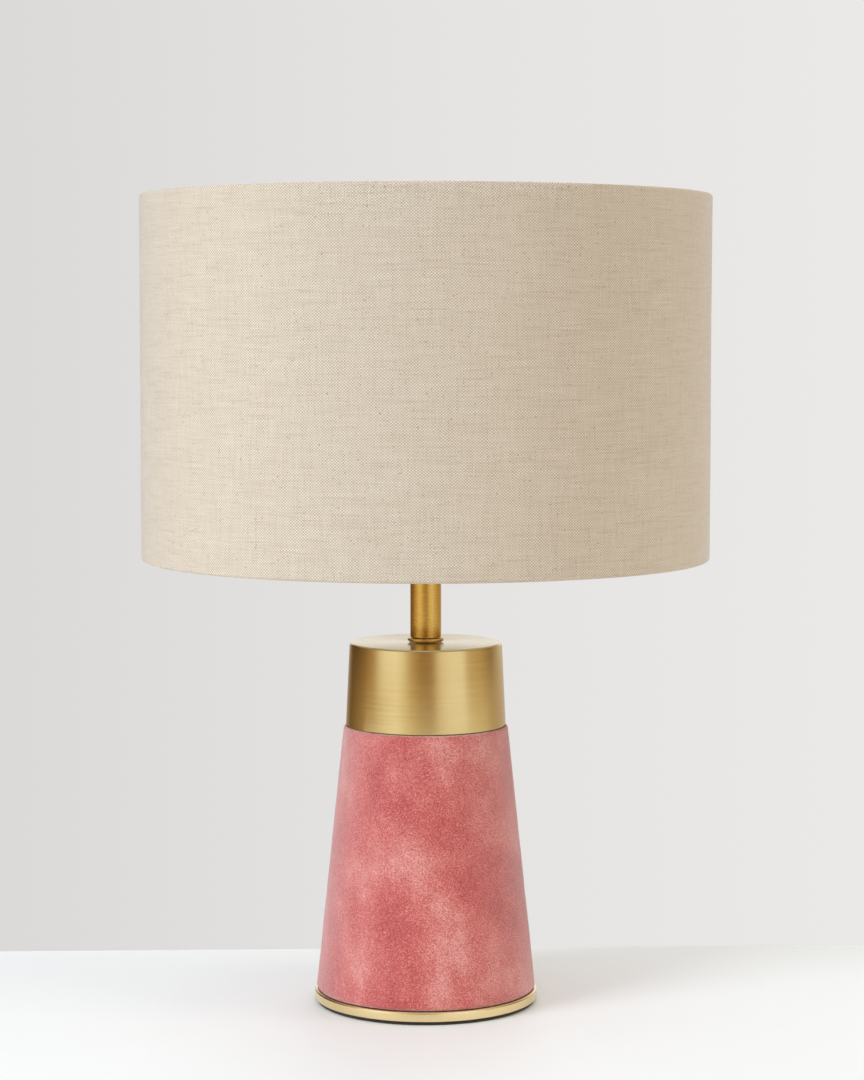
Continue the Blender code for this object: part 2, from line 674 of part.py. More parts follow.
def make_shade(materials):
    linen = make_linen(materials)
    make_liner(materials)
    make_wire_ring("shade_wire_lower", LOWER_WIRE_Z, materials["white_wire"])
    make_wire_ring("shade_wire_upper", UPPER_WIRE_Z, materials["white_wire"])
    plain_ring("shade_hub", HUB_BORE_RADIUS, HUB_RADIUS, HUB_BOTTOM, HUB_TOP, MEDIUM_SIDES,
               materials["white_wire"], edge=0.4 * MM)
    make_spokes(linen, materials)


# --- Bulb -----------------------------------------------------------------------------------------

FILAMENT_RADIUS = 0.9 * MM
FILAMENT_LENGTH = 32.0 * MM
FILAMENT_CIRCLE = 6.0 * MM
FILAMENT_OVERLAP = 4.0 * MM
FILAMENT_SIDES = 8
MOUNT_RADIUS = 4.6 * MM
MOUNT_HEIGHT = 20.0 * MM
GLASS_STATIONS = 10
GLASS_NECK_DEPTH = 3.0 * MM
SHELL_WALL = 0.5 * MM
SHELL_PLAIN_RIM = 2.5 * MM
SHELL_THREAD_START = 1.5 * MM
TIP_RADIUS = 4.6 * MM
TIP_HEIGHT = 1.6 * MM
INSULATOR_INSET = 2.6 * MM
INSULATOR_PLUG = 2.0 * MM


def glass_radius(share):
    """Outer radius of the flame-shaped glass, from its neck (share 0) to its tip (share 1)."""
    widest = 0.32
    if share <= widest:
        blend = 0.5 - 0.5 * math.cos(math.pi * share / widest)
        return BULB_NECK_RADIUS + blend * (BULB_RADIUS - BULB_NECK_RADIUS)
    fall = (share - widest) / (1 - widest)
    return BULB_RADIUS * math.sqrt(max(0.0, 1 - fall ** 1.7))


def make_glass(materials):
    """Hollow glass, open at its neck, which sits inside the screw cap."""
    neck = BULB_CAP_TOP - GLASS_NECK_DEPTH
    tip = BULB_TIP + BULB_LENGTH
    start = BULB_CAP_TOP + GAP
    outer = [(BULB_NECK_RADIUS, neck)]
    inner = [(BULB_NECK_RADIUS - GLASS_THICKNESS, neck)]
    for station in range(GLASS_STATIONS):
        share = math.sin(math.pi / 2 * station / GLASS_STATIONS)
        radius = glass_radius(share)
        outer.append((radius, start + share * (tip - start)))
        inner_tip = tip - GLASS_THICKNESS
        inner.append((max(radius - GLASS_THICKNESS, 0.4 * MM), start + share * (inner_tip - start)))
    points = [(0, tip)] + outer[::-1] + inner + [(0, tip - GLASS_THICKNESS)]
    lathe("bulb_glass", points, MEDIUM_SIDES, materials["glass"])


def make_bulb_cap(materials):
    """Screw shell with rounded thread crests, open at both ends."""
    turns = 4
    steps_per_turn = 4
    thread_bottom = BULB_CAP_BOTTOM + SHELL_THREAD_START
    outer = [(BULB_CAP_RADIUS - THREAD_DEPTH, BULB_CAP_BOTTOM)]
    for step in range(turns * steps_per_turn + 1):
        phase = 2 * math.pi * step / steps_per_turn
        depth = THREAD_DEPTH * (0.5 + 0.5 * math.cos(phase))
        z = thread_bottom + THREAD_PITCH * step / steps_per_turn
        outer.append((BULB_CAP_RADIUS - depth, z))
    outer.append((BULB_CAP_RADIUS, BULB_CAP_TOP - SHELL_PLAIN_RIM))
    outer.append((BULB_CAP_RADIUS, BULB_CAP_TOP))
    bore = BULB_NECK_RADIUS + GAP
    lower_bore = BULB_CAP_RADIUS - THREAD_DEPTH - SHELL_WALL
    shoulder = BULB_CAP_TOP - GLASS_NECK_DEPTH - SHELL_WALL
    inner = [(bore, BULB_CAP_TOP), (bore, shoulder), (lower_bore, shoulder - SHELL_WALL),
             (lower_bore, BULB_CAP_BOTTOM)]
    lathe("bulb_cap", outer + inner, MEDIUM_SIDES, materials["bulb_metal"])


def make_bulb_foot(materials):
    """Insulating cone under the screw cap and the contact button at its tip."""
    bottom = BULB_TIP + TIP_HEIGHT + GAP
    top = BULB_CAP_BOTTOM + INSULATOR_PLUG
    radius = BULB_CAP_RADIUS - INSULATOR_INSET
    insulator_points = [
        (0, bottom),
        (TIP_RADIUS, bottom),
        (radius, BULB_CAP_BOTTOM - GAP),
        (radius, top),
        (0, top),
    ]
    lathe("bulb_insulator", insulator_points, MEDIUM_SIDES, materials["ceramic"])
    button_points = [
        (0, BULB_TIP),
        (0.6 * TIP_RADIUS, BULB_TIP + 0.15 * TIP_HEIGHT),
        (TIP_RADIUS, BULB_TIP + 0.7 * TIP_HEIGHT),
        (TIP_RADIUS, BULB_TIP + TIP_HEIGHT),
        (0, BULB_TIP + TIP_HEIGHT),
    ]
    lathe("bulb_tip", button_points, SMALL_SIDES, materials["bulb_metal"])


def make_filaments(materials):
    """Glass mount on the axis, with the LED filaments standing round it."""
    mount_bottom = BULB_CAP_TOP - GLASS_NECK_DEPTH
    mount_top = mount_bottom + MOUNT_HEIGHT
    corners = [
        (0, mount_bottom, 0),
        (MOUNT_RADIUS, mount_bottom, 0.5 * MM),
        (0.45 * MOUNT_RADIUS, mount_bottom + 0.6 * MOUNT_HEIGHT, 3 * MM),
        (0.45 * MOUNT_RADIUS, mount_top, 0.6 * MM),
        (0, mount_top, 0),
    ]
    lathe("bulb_mount", rounded(corners, 2), SMALL_SIDES, materials["glass"])
    bottom = mount_top - FILAMENT_OVERLAP
    for number in range(FILAMENT_COUNT):
        angle = math.pi / 4 + 2 * math.pi * number / FILAMENT_COUNT
        foot = on_circle(FILAMENT_CIRCLE, angle, bottom)
        head = on_circle(0.5 * FILAMENT_CIRCLE, angle, bottom + FILAMENT_LENGTH)
        round_bar(f"bulb_filament_{number + 1}", FILAMENT_RADIUS, foot, head, FILAMENT_SIDES,
                  materials["filament"])


def make_bulb(materials):
    make_glass(materials)
    make_bulb_cap(materials)
    make_bulb_foot(materials)
    make_filaments(materials)


def main():
    clear_scene()
    materials = make_materials()
    make_base(materials)
    make_stem(materials)
    make_lampholder(materials)
    make_shade(materials)
    make_bulb(materials)


main()
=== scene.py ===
"""Looks of the table lamp: finished surfaces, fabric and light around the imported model.

Lengths are in metres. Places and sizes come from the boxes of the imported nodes. Only what those
boxes don't say, such as an edge's rounding or a cloth's thickness, is a named value here.
"""

import json
import math

import bmesh
import bpy
import numpy as np
from mathutils import Matrix, Vector, noise


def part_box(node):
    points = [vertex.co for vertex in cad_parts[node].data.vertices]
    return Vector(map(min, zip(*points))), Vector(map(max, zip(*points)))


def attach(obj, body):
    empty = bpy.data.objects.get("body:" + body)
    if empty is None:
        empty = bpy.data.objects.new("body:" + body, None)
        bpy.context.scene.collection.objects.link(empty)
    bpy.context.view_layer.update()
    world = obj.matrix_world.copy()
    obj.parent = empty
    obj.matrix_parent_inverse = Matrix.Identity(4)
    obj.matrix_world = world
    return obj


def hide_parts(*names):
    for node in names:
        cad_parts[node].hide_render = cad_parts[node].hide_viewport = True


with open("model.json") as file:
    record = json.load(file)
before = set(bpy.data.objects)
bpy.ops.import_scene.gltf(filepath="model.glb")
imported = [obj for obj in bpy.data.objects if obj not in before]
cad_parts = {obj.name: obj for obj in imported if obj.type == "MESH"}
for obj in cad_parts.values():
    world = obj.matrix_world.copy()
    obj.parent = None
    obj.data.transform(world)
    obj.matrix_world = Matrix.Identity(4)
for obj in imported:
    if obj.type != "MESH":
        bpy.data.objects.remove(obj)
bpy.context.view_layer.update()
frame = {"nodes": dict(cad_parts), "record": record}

MM = 0.001
WELD_DISTANCE = 0.0005 * MM
FULL_TURN = 2 * math.pi
BACK = math.pi / 2


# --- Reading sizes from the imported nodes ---


def heights(node):
    """Heights of a node's bottom and top."""
    low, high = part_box(node)
    return low.z, high.z


def top(node):
    return heights(node)[1]


def radius(node):
    """Outer radius of a round node on the lamp's axis."""
    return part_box(node)[1].x


def bore(node):
    """Smallest radius of a node's points."""
    return min(math.hypot(v.co.x, v.co.y) for v in frame["nodes"][node].data.vertices)


def outer_radius_at(node, height, reach=2 * MM):
    """Largest radius of a node's points close to a height."""
    vertices = frame["nodes"][node].data.vertices
    return max(math.hypot(v.co.x, v.co.y) for v in vertices if abs(v.co.z - height) <= reach)


# --- Meshes ---


def out_at(angle):
    """Unit vector that points out from the lamp's axis at an angle."""
    return Vector((math.cos(angle), math.sin(angle), 0))


def lift(height):
    return Vector((0, 0, height))


def finish_piece(item, body, slot, replaced, finish, look=None):
    """Dress a piece in its slot's material, or in a look of its own, and tie it to the model."""
    item.data.materials.append(finish[look or slot])
    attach(item, body)
    if replaced:
        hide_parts(*replaced)


def thicken(item, label, thickness, offset=0):
    """Give a surface its thickness, at offset -1 inwards and at 0 to both sides."""
    solid = item.modifiers.new(label, "SOLIDIFY")
    solid.thickness = thickness
    solid.offset = offset


def mesh_object(name, points, faces, uvs=None, sharp_degrees=35):
    """Mesh object from points and faces. A sheet brings a UV in metres for each face corner, and its
    faces already agree on which side is out."""
    mesh = bpy.data.meshes.new(name)
    mesh.from_pydata(points, [], faces)
    if uvs is None:
        bm = bmesh.new()
        bm.from_mesh(mesh)
        bmesh.ops.remove_doubles(bm, verts=bm.verts, dist=WELD_DISTANCE)
        bmesh.ops.recalc_face_normals(bm, faces=bm.faces)
        bm.to_mesh(mesh)
        bm.free()
        mesh.shade_smooth()
        mesh.set_sharp_from_angle(angle=math.radians(sharp_degrees))
    else:
        layer = mesh.uv_layers.new(name="metres")
        layer.data.foreach_set("uv", np.array(uvs, dtype=np.float32).ravel())
        mesh.shade_smooth()
    item = bpy.data.objects.new(name, mesh)
    bpy.context.scene.collection.objects.link(item)
    return item


def grid_faces(rows, columns, wrap_rows, wrap_columns, keep=None):
    """Quads of a grid of points, and for each the (row, column) steps of its corners."""
    faces = []
    steps = []
    for row in range(rows if wrap_rows else rows - 1):
        for column in range(columns if wrap_columns else columns - 1):
            if keep is not None and not keep(row, column):
                continue
            corners = [(row, column), (row + 1, column), (row + 1, column + 1), (row, column + 1)]
            faces.append([(r % rows) * columns + c % columns for r, c in corners])
            steps.append(corners)
    return faces, steps


def rounded(corners, steps=6):
    """Turn (r, z, fillet) corners of a closed outline into (r, z) points with arcs at the fillets."""
    points = []
    for index, (r, z, fillet) in enumerate(corners):
        if fillet == 0:
            points.append((r, z))
            continue
        corner = Vector((r, z))
        before = (Vector(corners[index - 1][:2]) - corner).normalized()
        after = (Vector(corners[(index + 1) % len(corners)][:2]) - corner).normalized()
        half_angle = before.angle(after) / 2
        centre = corner + (before + after).normalized() * (fillet / math.sin(half_angle))
        start = corner + before * (fillet / math.tan(half_angle)) - centre
        sweep = start.angle_signed(corner + after * (fillet / math.tan(half_angle)) - centre)
        for step in range(steps + 1):
            spoke = start.copy()
            spoke.rotate(Matrix.Rotation(-sweep * step / steps, 2))
            points.append(tuple(centre + spoke))
    return points


def turned(name, outline_at, sides, closed=True):
    """Surface of revolution whose (r, z) outline may change with the angle, as a thread does."""
    rows = []
    for side in range(sides):
        angle = FULL_TURN * side / sides
        rows.append([(r * math.cos(angle), r * math.sin(angle), z) for r, z in outline_at(angle)])
    columns = len(rows[0])
    points = [point for row in rows for point in row]
    faces, _ = grid_faces(sides, columns, True, closed)
    return mesh_object(name, points, faces)


def lathe(name, corners, sides=192, steps=6):
    """Turned piece from rounded corners. An outline that starts and ends on the axis stays open."""
    outline = rounded(corners, steps)
    on_axis = min(r for r, _, _ in corners) == 0
    return turned(name, lambda angle: outline, sides, closed=not on_axis)


def tube(name, path, radii, sides=16):
    """Closed round tube along a path of points, with its own radius at each point."""
    points = []
    previous = None
    for index, centre in enumerate(path):
        ahead = path[min(index + 1, len(path) - 1)]
        behind = path[max(index - 1, 0)]
        along = (ahead - behind).normalized()
        guide = previous if previous is not None else Vector((0, 0, 1)).cross(along)
        if guide.length < 1e-6:
            guide = Vector((1, 0, 0))
        across = (guide - along * guide.dot(along)).normalized()
        previous = across
        up = along.cross(across)
        for side in range(sides):
            angle = FULL_TURN * side / sides
            offset = across * math.cos(angle) + up * math.sin(angle)
            points.append(centre + offset * radii[index])
    faces, _ = grid_faces(len(path), sides, False, True)
    faces.append(list(range(sides))[::-1])
    faces.append(list(range((len(path) - 1) * sides, len(path) * sides)))
    return mesh_object(name, points, faces)


def arc(centre_r, centre_z, reach, start, sweep, steps):
    """The (r, z) points of an arc, with its start and sweep in degrees."""
    turns = [math.radians(start + sweep * step / steps) for step in range(steps + 1)]
    return [(centre_r + reach * math.cos(turn), centre_z + reach * math.sin(turn)) for turn in turns]


def smooth_path(points, count):
    """Points evenly spaced in parameter on a Catmull-Rom curve through the given ones."""
    points = [Vector(p) for p in points]
    padded = [2 * points[0] - points[1]] + points + [2 * points[-1] - points[-2]]
    spans = len(points) - 1
    path = []
    for step in range(count):
        place = spans * step / (count - 1)
        span = min(int(place), spans - 1)
        t = place - span
        a, b, c, d = padded[span:span + 4]
        path.append(0.5 * (2 * b + (c - a) * t + (2 * a - 5 * b + 4 * c - d) * t ** 2
                           + (3 * b - 3 * c + d - a) * t ** 3))
    return path


# --- Shader nodes ---


def new_material(name, **sockets):
    """Principled material; a value that is the same all over goes straight on its socket."""
    material = bpy.data.materials.new(name)
    material.use_nodes = True
    shader = material.node_tree.nodes["Principled BSDF"]
    for label, value in sockets.items():
        shader.inputs[label.replace("_", " ")].default_value = value
    return material, material.node_tree, shader


def feed(tree, socket, value):
    if isinstance(value, bpy.types.NodeSocket):
        tree.links.new(value, socket)
    else:
        socket.default_value = value


def add_node(tree, kind, *values):
    """New shader node whose first inputs are fed in order."""
    item = tree.nodes.new("ShaderNode" + kind)
    for socket, value in zip(item.inputs, values):
        feed(tree, socket, value)
    return item


def maths(tree, operation, *values):
    item = add_node(tree, "Math", *values)
    item.operation = operation
    return item.outputs[0]


def combine(tree, x, y, z):
    return add_node(tree, "CombineXYZ", x, y, z).outputs[0]


def weighted(tree, *terms):
    """Sum of (value, share) terms."""
    total = 0.0
    for value, share in terms:
        total = maths(tree, "MULTIPLY_ADD", value, share, total)
    return total


def object_place(tree):
    """Where the shaded point is, in metres on the unposed lamp."""
    return tree.nodes.new("ShaderNodeTexCoord").outputs["Object"]


def object_axes(tree):
    return add_node(tree, "SeparateXYZ", object_place(tree)).outputs[0:3]


def uv_axes(tree):
    """The u and v of the shaded point, in metres along the flat cloth."""
    place = add_node(tree, "UVMap")
    place.uv_map = "metres"
    return add_node(tree, "SeparateXYZ", place.outputs[0]).outputs[0:2]


def noise_at(tree, vector, scale=1.0, detail=2.0, roughness=0.5, distortion=0.0):
    item = add_node(tree, "TexNoise", vector)
    item.inputs["Scale"].default_value = scale
    item.inputs["Detail"].default_value = detail
    item.inputs["Roughness"].default_value = roughness
    item.inputs["Distortion"].default_value = distortion
    return item.outputs[0]


def ramp(tree, value, stops):
    """Colour ramp through (position, colour) stops."""
    item = add_node(tree, "ValToRGB", value)
    elements = item.color_ramp.elements
    while len(elements) < len(stops):
        elements.new(0.5)
    for element, (position, color) in zip(elements, stops):
        element.position = position
        element.color = (*color, 1.0)
    return item.outputs[0]


def spread(tree, value, low, high, new_low=0.0, new_high=1.0):
    """Map a value from one range to another, held at its ends."""
    return add_node(tree, "MapRange", value, low, high, new_low, new_high).outputs[0]


def blend_color(tree, share, first, second):
    item = tree.nodes.new("ShaderNodeMix")
    item.data_type = "RGBA"
    feed(tree, item.inputs[0], share)
    for socket, value in ((item.inputs[6], first), (item.inputs[7], second)):
        feed(tree, socket, value if isinstance(value, bpy.types.NodeSocket) else (*value, 1.0))
    return item.outputs[2]


def stain(tree, color, value, low, high, share, toward):
    """Bring up to a share of another colour into one as a value goes from low to high."""
    return blend_color(tree, spread(tree, value, low, high, 0.0, share), color, toward)


def two_tones(tree, shader, tone, dark, light):
    """Base colour that follows a noise from dark to light."""
    tree.links.new(ramp(tree, tone, [(0.30, dark), (0.70, light)]), shader.inputs["Base Color"])


def vary_gloss(tree, shader, value, low, high, smooth, rough):
    tree.links.new(spread(tree, value, low, high, smooth, rough), shader.inputs["Roughness"])


def bump(tree, shader, height, distance, strength=1.0):
    item = tree.nodes.new("ShaderNodeBump")
    item.inputs["Strength"].default_value = strength
    item.inputs["Distance"].default_value = distance
    feed(tree, item.inputs["Height"], height)
    tree.links.new(item.outputs[0], shader.inputs["Normal"])


# --- Materials ---

WEFT_SPACING = 0.70 * MM
WARP_SPACING = 0.80 * MM
# How far the threads wander sideways, in threads.
THREAD_DRIFT = 1.8


def thread_noise(tree, thread, along, length, seed, detail=2.0):
    """Noise that runs along one thread and starts afresh on the next."""
    return noise_at(tree, combine(tree, maths(tree, "MULTIPLY", along, 1 / length),
                                  maths(tree, "MULTIPLY", thread, 3.73), seed), detail=detail)


def crown_of(tree, across):
    """Rounded height of a thread from 0 at its sides to 1 along its middle."""
    return maths(tree, "SINE", maths(tree, "MULTIPLY", maths(tree, "FRACT", across), math.pi))


def linen_material():
    """Plain weave of uneven flax threads: slubs, brown flecks, relief, and painted shade in the weave.
    """
    material, tree, shader = new_material("linen_weave", Roughness=0.75, Sheen_Weight=0.7,
                                          Sheen_Roughness=0.35, Specular_IOR_Level=0.35,
                                          Sheen_Tint=(1.0, 0.98, 0.93, 1.0))
    u, v = uv_axes(tree)
    drift = noise_at(tree, combine(tree, u, v, 5.0), scale=70, detail=3)
    across = weighted(tree, (u, 1 / WARP_SPACING), (drift, THREAD_DRIFT))
    upward = weighted(tree, (v, 1 / WEFT_SPACING), (drift, THREAD_DRIFT))
    warp = maths(tree, "FLOOR", across)
    weft = maths(tree, "FLOOR", upward)
    weft_tone = thread_noise(tree, weft, u, 22 * MM, 0.0)
    warp_tone = thread_noise(tree, warp, v, 16 * MM, 9.0)
    over = maths(tree, "PINGPONG", maths(tree, "ADD", warp, weft), 1.0)
    weft_share = maths(tree, "MULTIPLY", maths(tree, "SUBTRACT", 1.0, over),
                       crown_of(tree, upward))
    warp_share = maths(tree, "MULTIPLY", over, crown_of(tree, across))
    weft_color = ramp(tree, weft_tone, [(0.26, (0.61, 0.50, 0.37)), (0.44, (0.715, 0.62, 0.485)),
                                        (0.60, (0.76, 0.66, 0.525)), (0.76, (0.825, 0.74, 0.60))])
    # Warp threads darker than the weft: partly their own tone, partly painted shade of the weave.
    warp_color_and_painted_shade = ramp(tree, warp_tone, [(0.26, (0.415, 0.325, 0.235)), (0.48, (0.48, 0.395, 0.30)),
                                        (0.74, (0.55, 0.465, 0.365))])
    color = blend_color(tree, over, weft_color, warp_color_and_painted_shade)
    cloudy = noise_at(tree, combine(tree, u, v, 0.0), scale=45, detail=3, roughness=0.6)
    color = stain(tree, color, cloudy, 0.42, 0.68, 0.10, (0.56, 0.44, 0.33))
    for thread, along, seed in ((weft, u, 21.0), (warp, v, 33.0)):
        fleck = thread_noise(tree, thread, along, 1.3 * MM, seed, detail=1.0)
        color = stain(tree, color, fleck, 0.68, 0.78, 0.6, (0.26, 0.15, 0.09))
    # Thread edges darkened towards the gaps between threads: painted shade in the weave's hollows.
    crown = maths(tree, "ADD", weft_share, warp_share)
    color = stain(tree, color, crown, 0.7, 0.0, 0.30, (0.30, 0.22, 0.15))
    tree.links.new(color, shader.inputs["Base Color"])
    relief = weighted(tree, (weft_share, 0.7), (warp_share, 0.4), (weft_tone, 0.4))
    bump(tree, shader, relief, 0.20 * MM, 0.4)
    return material


def velvet_material():
    """Crushed pile with a pale sheen; its patches, streaks and crinkle carry painted sheen and shade.
    """
    material, tree, shader = new_material("coral_velvet", Roughness=0.8, Sheen_Weight=1.0,
                                          Sheen_Roughness=0.50, Sheen_Tint=(1.0, 0.90, 0.87, 1.0),
                                          Specular_IOR_Level=0.10)
    x, y, z = object_axes(tree)
    place = object_place(tree)
    upright = combine(tree, x, y, maths(tree, "MULTIPLY", z, 0.30))
    flat = combine(tree, x, y, maths(tree, "MULTIPLY", z, 1.7))
    patches = noise_at(tree, place, scale=24, detail=4, roughness=0.58, distortion=0.2)
    streaks = noise_at(tree, upright, scale=70, detail=3, roughness=0.55)
    crinkle = noise_at(tree, flat, scale=1150, detail=1, roughness=0.5, distortion=1.0)
    pile = noise_at(tree, place, scale=2100, detail=1, roughness=0.6)
    # Patches that lie differently and upright streaks, painted lighter and darker: painted sheen and
    # shade of the pile.
    nap_painted_sheen_and_relief = weighted(tree, (patches, 0.70), (streaks, 0.30))
    crinkle_painted_light_and_relief = weighted(tree, (crinkle, 0.50), (pile, 0.50))
    color = ramp(tree, nap_painted_sheen_and_relief, [(0.36, (0.46, 0.050, 0.047)), (0.46, (0.58, 0.100, 0.090)),
                             (0.54, (0.67, 0.165, 0.142)), (0.64, (0.79, 0.310, 0.270))])
    # Fine crinkle painted darker in its hollows and paler on its ridges: painted shade and painted
    # highlights.
    color = stain(tree, color, crinkle_painted_light_and_relief, 0.55, 0.38, 0.75, (0.40, 0.040, 0.035))
    color = stain(tree, color, crinkle_painted_light_and_relief, 0.50, 0.66, 0.42, (0.90, 0.56, 0.50))
    tree.links.new(color, shader.inputs["Base Color"])
    bump(tree, shader, weighted(tree, (nap_painted_sheen_and_relief, 0.5), (crinkle_painted_light_and_relief, 1.0)), 1.6 * MM, 0.6)
    return material


def turned_place(tree, around, along):
    """Coordinates that change slowly round the lamp's axis and fast along a turned profile."""
    x, y, z = object_axes(tree)
    reach = maths(tree, "SQRT", maths(tree, "ADD", maths(tree, "POWER", x, 2.0),
                                      maths(tree, "POWER", y, 2.0)))
    safe = maths(tree, "MAXIMUM", reach, 0.1 * MM)
    return combine(tree, maths(tree, "MULTIPLY", maths(tree, "DIVIDE", x, safe), around),
                   maths(tree, "MULTIPLY", maths(tree, "DIVIDE", y, safe), around),
                   maths(tree, "MULTIPLY", maths(tree, "ADD", z, reach), along))


def brushed_metal(name, dark, light, rough, anisotropy=0.6, fineness=2600):
    """Satin metal with fine brushing round the axis and a slow change of tone."""
    material, tree, shader = new_material(name, Metallic=1.0, Anisotropic=anisotropy,
                                          Anisotropic_Rotation=0.25)
    brushing = noise_at(tree, turned_place(tree, 0.9, fineness), detail=3, roughness=0.75)
    broad = noise_at(tree, turned_place(tree, 0.8, 60), detail=2)
    tone = weighted(tree, (brushing, 0.6), (broad, 0.4))
    two_tones(tree, shader, tone, dark, light)
    vary_gloss(tree, shader, brushing, 0.25, 0.75, rough - 0.05, rough + 0.06)
    tangent = tree.nodes.new("ShaderNodeTangent")
    tangent.direction_type = "RADIAL"
    tangent.axis = "Z"
    tree.links.new(tangent.outputs[0], shader.inputs["Tangent"])
    bump(tree, shader, brushing, 0.01 * MM, 0.35)
    return material


def mottled(name, dark, light, rough, scale, relief, metallic=0.0, detail=4.0, **sockets):
    """Even surface with a fine mottle in its colour, its gloss and its relief."""
    material, tree, shader = new_material(name, Metallic=metallic, **sockets)
    pattern = noise_at(tree, object_place(tree), scale=scale, detail=detail, roughness=0.6)
    two_tones(tree, shader, pattern, dark, light)
    vary_gloss(tree, shader, pattern, 0.3, 0.7, rough - 0.05, rough + 0.06)
    bump(tree, shader, pattern, relief, 0.5)
    return material


def glass_material():
    """Clear glass with faint handling smears in its gloss."""
    material, tree, shader = new_material("bulb_clear_glass", Transmission_Weight=1.0, IOR=1.47,
                                          Base_Color=(0.98, 0.99, 0.99, 1.0))
    smears = noise_at(tree, object_place(tree), scale=180, detail=3)
    vary_gloss(tree, shader, smears, 0.45, 0.75, 0.01, 0.09)
    return material


def make_finishes():
    return {
        "velvet": velvet_material(),
        "linen": linen_material(),
        "liner": mottled("liner_film", (0.74, 0.71, 0.64), (0.80, 0.77, 0.71), 0.5, 900, 0.02 * MM),
        "brass": brushed_metal("satin_brass", (0.67, 0.515, 0.24), (0.73, 0.57, 0.28), 0.22),
        # A paler copy of the brass for the foot: painted reflection of the bright table in front of it.
        "foot_brass_painted_reflection": brushed_metal("brass_with_painted_table_reflection", (0.87, 0.71, 0.39), (0.92, 0.76, 0.44), 0.24),
        "stem_brass": brushed_metal("golden_brass", (0.64, 0.39, 0.09), (0.70, 0.45, 0.13), 0.24),
        "plated_steel": mottled("zinc_plate", (0.48, 0.47, 0.44), (0.66, 0.65, 0.62), 0.35, 1200,
                                0.02 * MM, metallic=1.0),
        "white_wire": mottled("white_powder_coat", (0.72, 0.71, 0.68), (0.82, 0.81, 0.78), 0.42,
                              2200, 0.05 * MM),
        "wood": mottled("fibreboard", (0.26, 0.17, 0.09), (0.46, 0.33, 0.20), 0.8, 700, 0.1 * MM),
        "cast_iron": mottled("iron_casting", (0.04, 0.04, 0.04), (0.10, 0.10, 0.10), 0.6, 500,
                             0.2 * MM, metallic=1.0),
        "felt": mottled("brown_felt", (0.010, 0.006, 0.004), (0.045, 0.028, 0.020), 0.95, 1800,
                        0.3 * MM, Sheen_Weight=0.2, Sheen_Roughness=0.6),
        "holder_plastic": mottled("cream_moulding", (0.72, 0.69, 0.61), (0.80, 0.77, 0.69), 0.38,
                                  1500, 0.03 * MM),
        "ceramic": mottled("glazed_ceramic", (0.78, 0.76, 0.71), (0.86, 0.85, 0.81), 0.2, 400,
                           0.03 * MM),
        "grommet_plastic": mottled("brown_moulding", (0.040, 0.026, 0.018), (0.070, 0.048, 0.036),
                                   0.45, 1500, 0.04 * MM),
        "glass": glass_material(),
        "bulb_metal": brushed_metal("nickel_shell", (0.58, 0.57, 0.54), (0.72, 0.71, 0.68), 0.26,
                                    anisotropy=0.3),
        "filament": mottled("phosphor_coat", (0.80, 0.48, 0.08), (0.94, 0.66, 0.20), 0.55, 2500,
                            0.05 * MM),
    }


# --- Base ---

VELVET_THICKNESS = 0.9 * MM
GROMMET_HOLE_RADIUS = 6.6 * MM
GROMMET_FLANGE = 2.4 * MM
GROMMET_BARREL_RADIUS = 6.0 * MM
GROMMET_BORE_RADIUS = 4.25 * MM
GROMMET_DEPTH = 15 * MM
CAP_EDGE = 1.2 * MM
CAP_WALL = 1.2 * MM


def make_pad(finish):
    r = radius("base_pad")
    z = top("base_pad")
    corners = [(0, 0, 0), (r, 0, 0.3 * MM), (r, z, 0.3 * MM), (0, z, 0)]
    item = lathe("felt_pad", corners, steps=3)
    finish_piece(item, "root", "felt", ["base_pad"], finish)


def make_foot(finish):
    """Brass plate with a softened upper edge. Its screws stay hidden under the pad."""
    r = radius("foot_plate")
    low, high = heights("foot_plate")
    corners = [(0, low, 0), (r, low, 0.7 * MM), (r, high, 1.0 * MM), (0, high, 0)]
    item = lathe("foot_disc", corners, sides=256)
    # The foot wears the paler copy of the brass: a painted reflection of the bright table.
    finish_piece(item, "root", "brass", ["foot_plate"], finish, look="foot_brass_painted_reflection")


def make_velvet(finish):
    """Velvet glued round the cone, turned over at both edges and butted in a seam at the back."""
    low, high = heights("velvet_cover")
    low_radius = outer_radius_at("velvet_cover", low)
    high_radius = outer_radius_at("velvet_cover", high)
    roll = 0.8 * MM
    seam_depth = 0.5 * MM
    seam_width = 0.9 * MM
    sink = 0.15 * MM
    rows = 320
    columns = 120
    points = []
    for row in range(rows):
        angle = FULL_TURN * row / rows
        outward = out_at(angle)
        seam_turn = abs(math.remainder(angle - BACK, FULL_TURN))
        for column in range(columns):
            share = column / (columns - 1)
            z = low + share * (high - low)
            base = low_radius + share * (high_radius - low_radius)
            edge = min(z - low, high - z)
            turn_in = roll - math.sqrt(max(0.0, roll ** 2 - max(0.0, roll - edge) ** 2))
            place = outward * base + lift(z)
            swell = 0.16 * MM * noise.noise(place * 60) + 0.07 * MM * noise.noise(place * 220)
            seam = seam_depth * math.exp(-(seam_turn * base / seam_width) ** 2)
            reach = base - sink - turn_in + swell - seam
            points.append(outward * reach + lift(z))
    faces, _ = grid_faces(rows, columns, True, False)
    inlet = inlet_place()
    kept = []
    for face in faces:
        centre = sum((points[corner] for corner in face), Vector()) / 4
        if (centre - inlet).length > GROMMET_HOLE_RADIUS:
            kept.append(face)
    item = mesh_object("velvet_wrap", points, kept, sharp_degrees=80)
    thicken(item, "cloth thickness", VELVET_THICKNESS, offset=-1)
    finish_piece(item, "root", "velvet", ["velvet_cover"], finish)


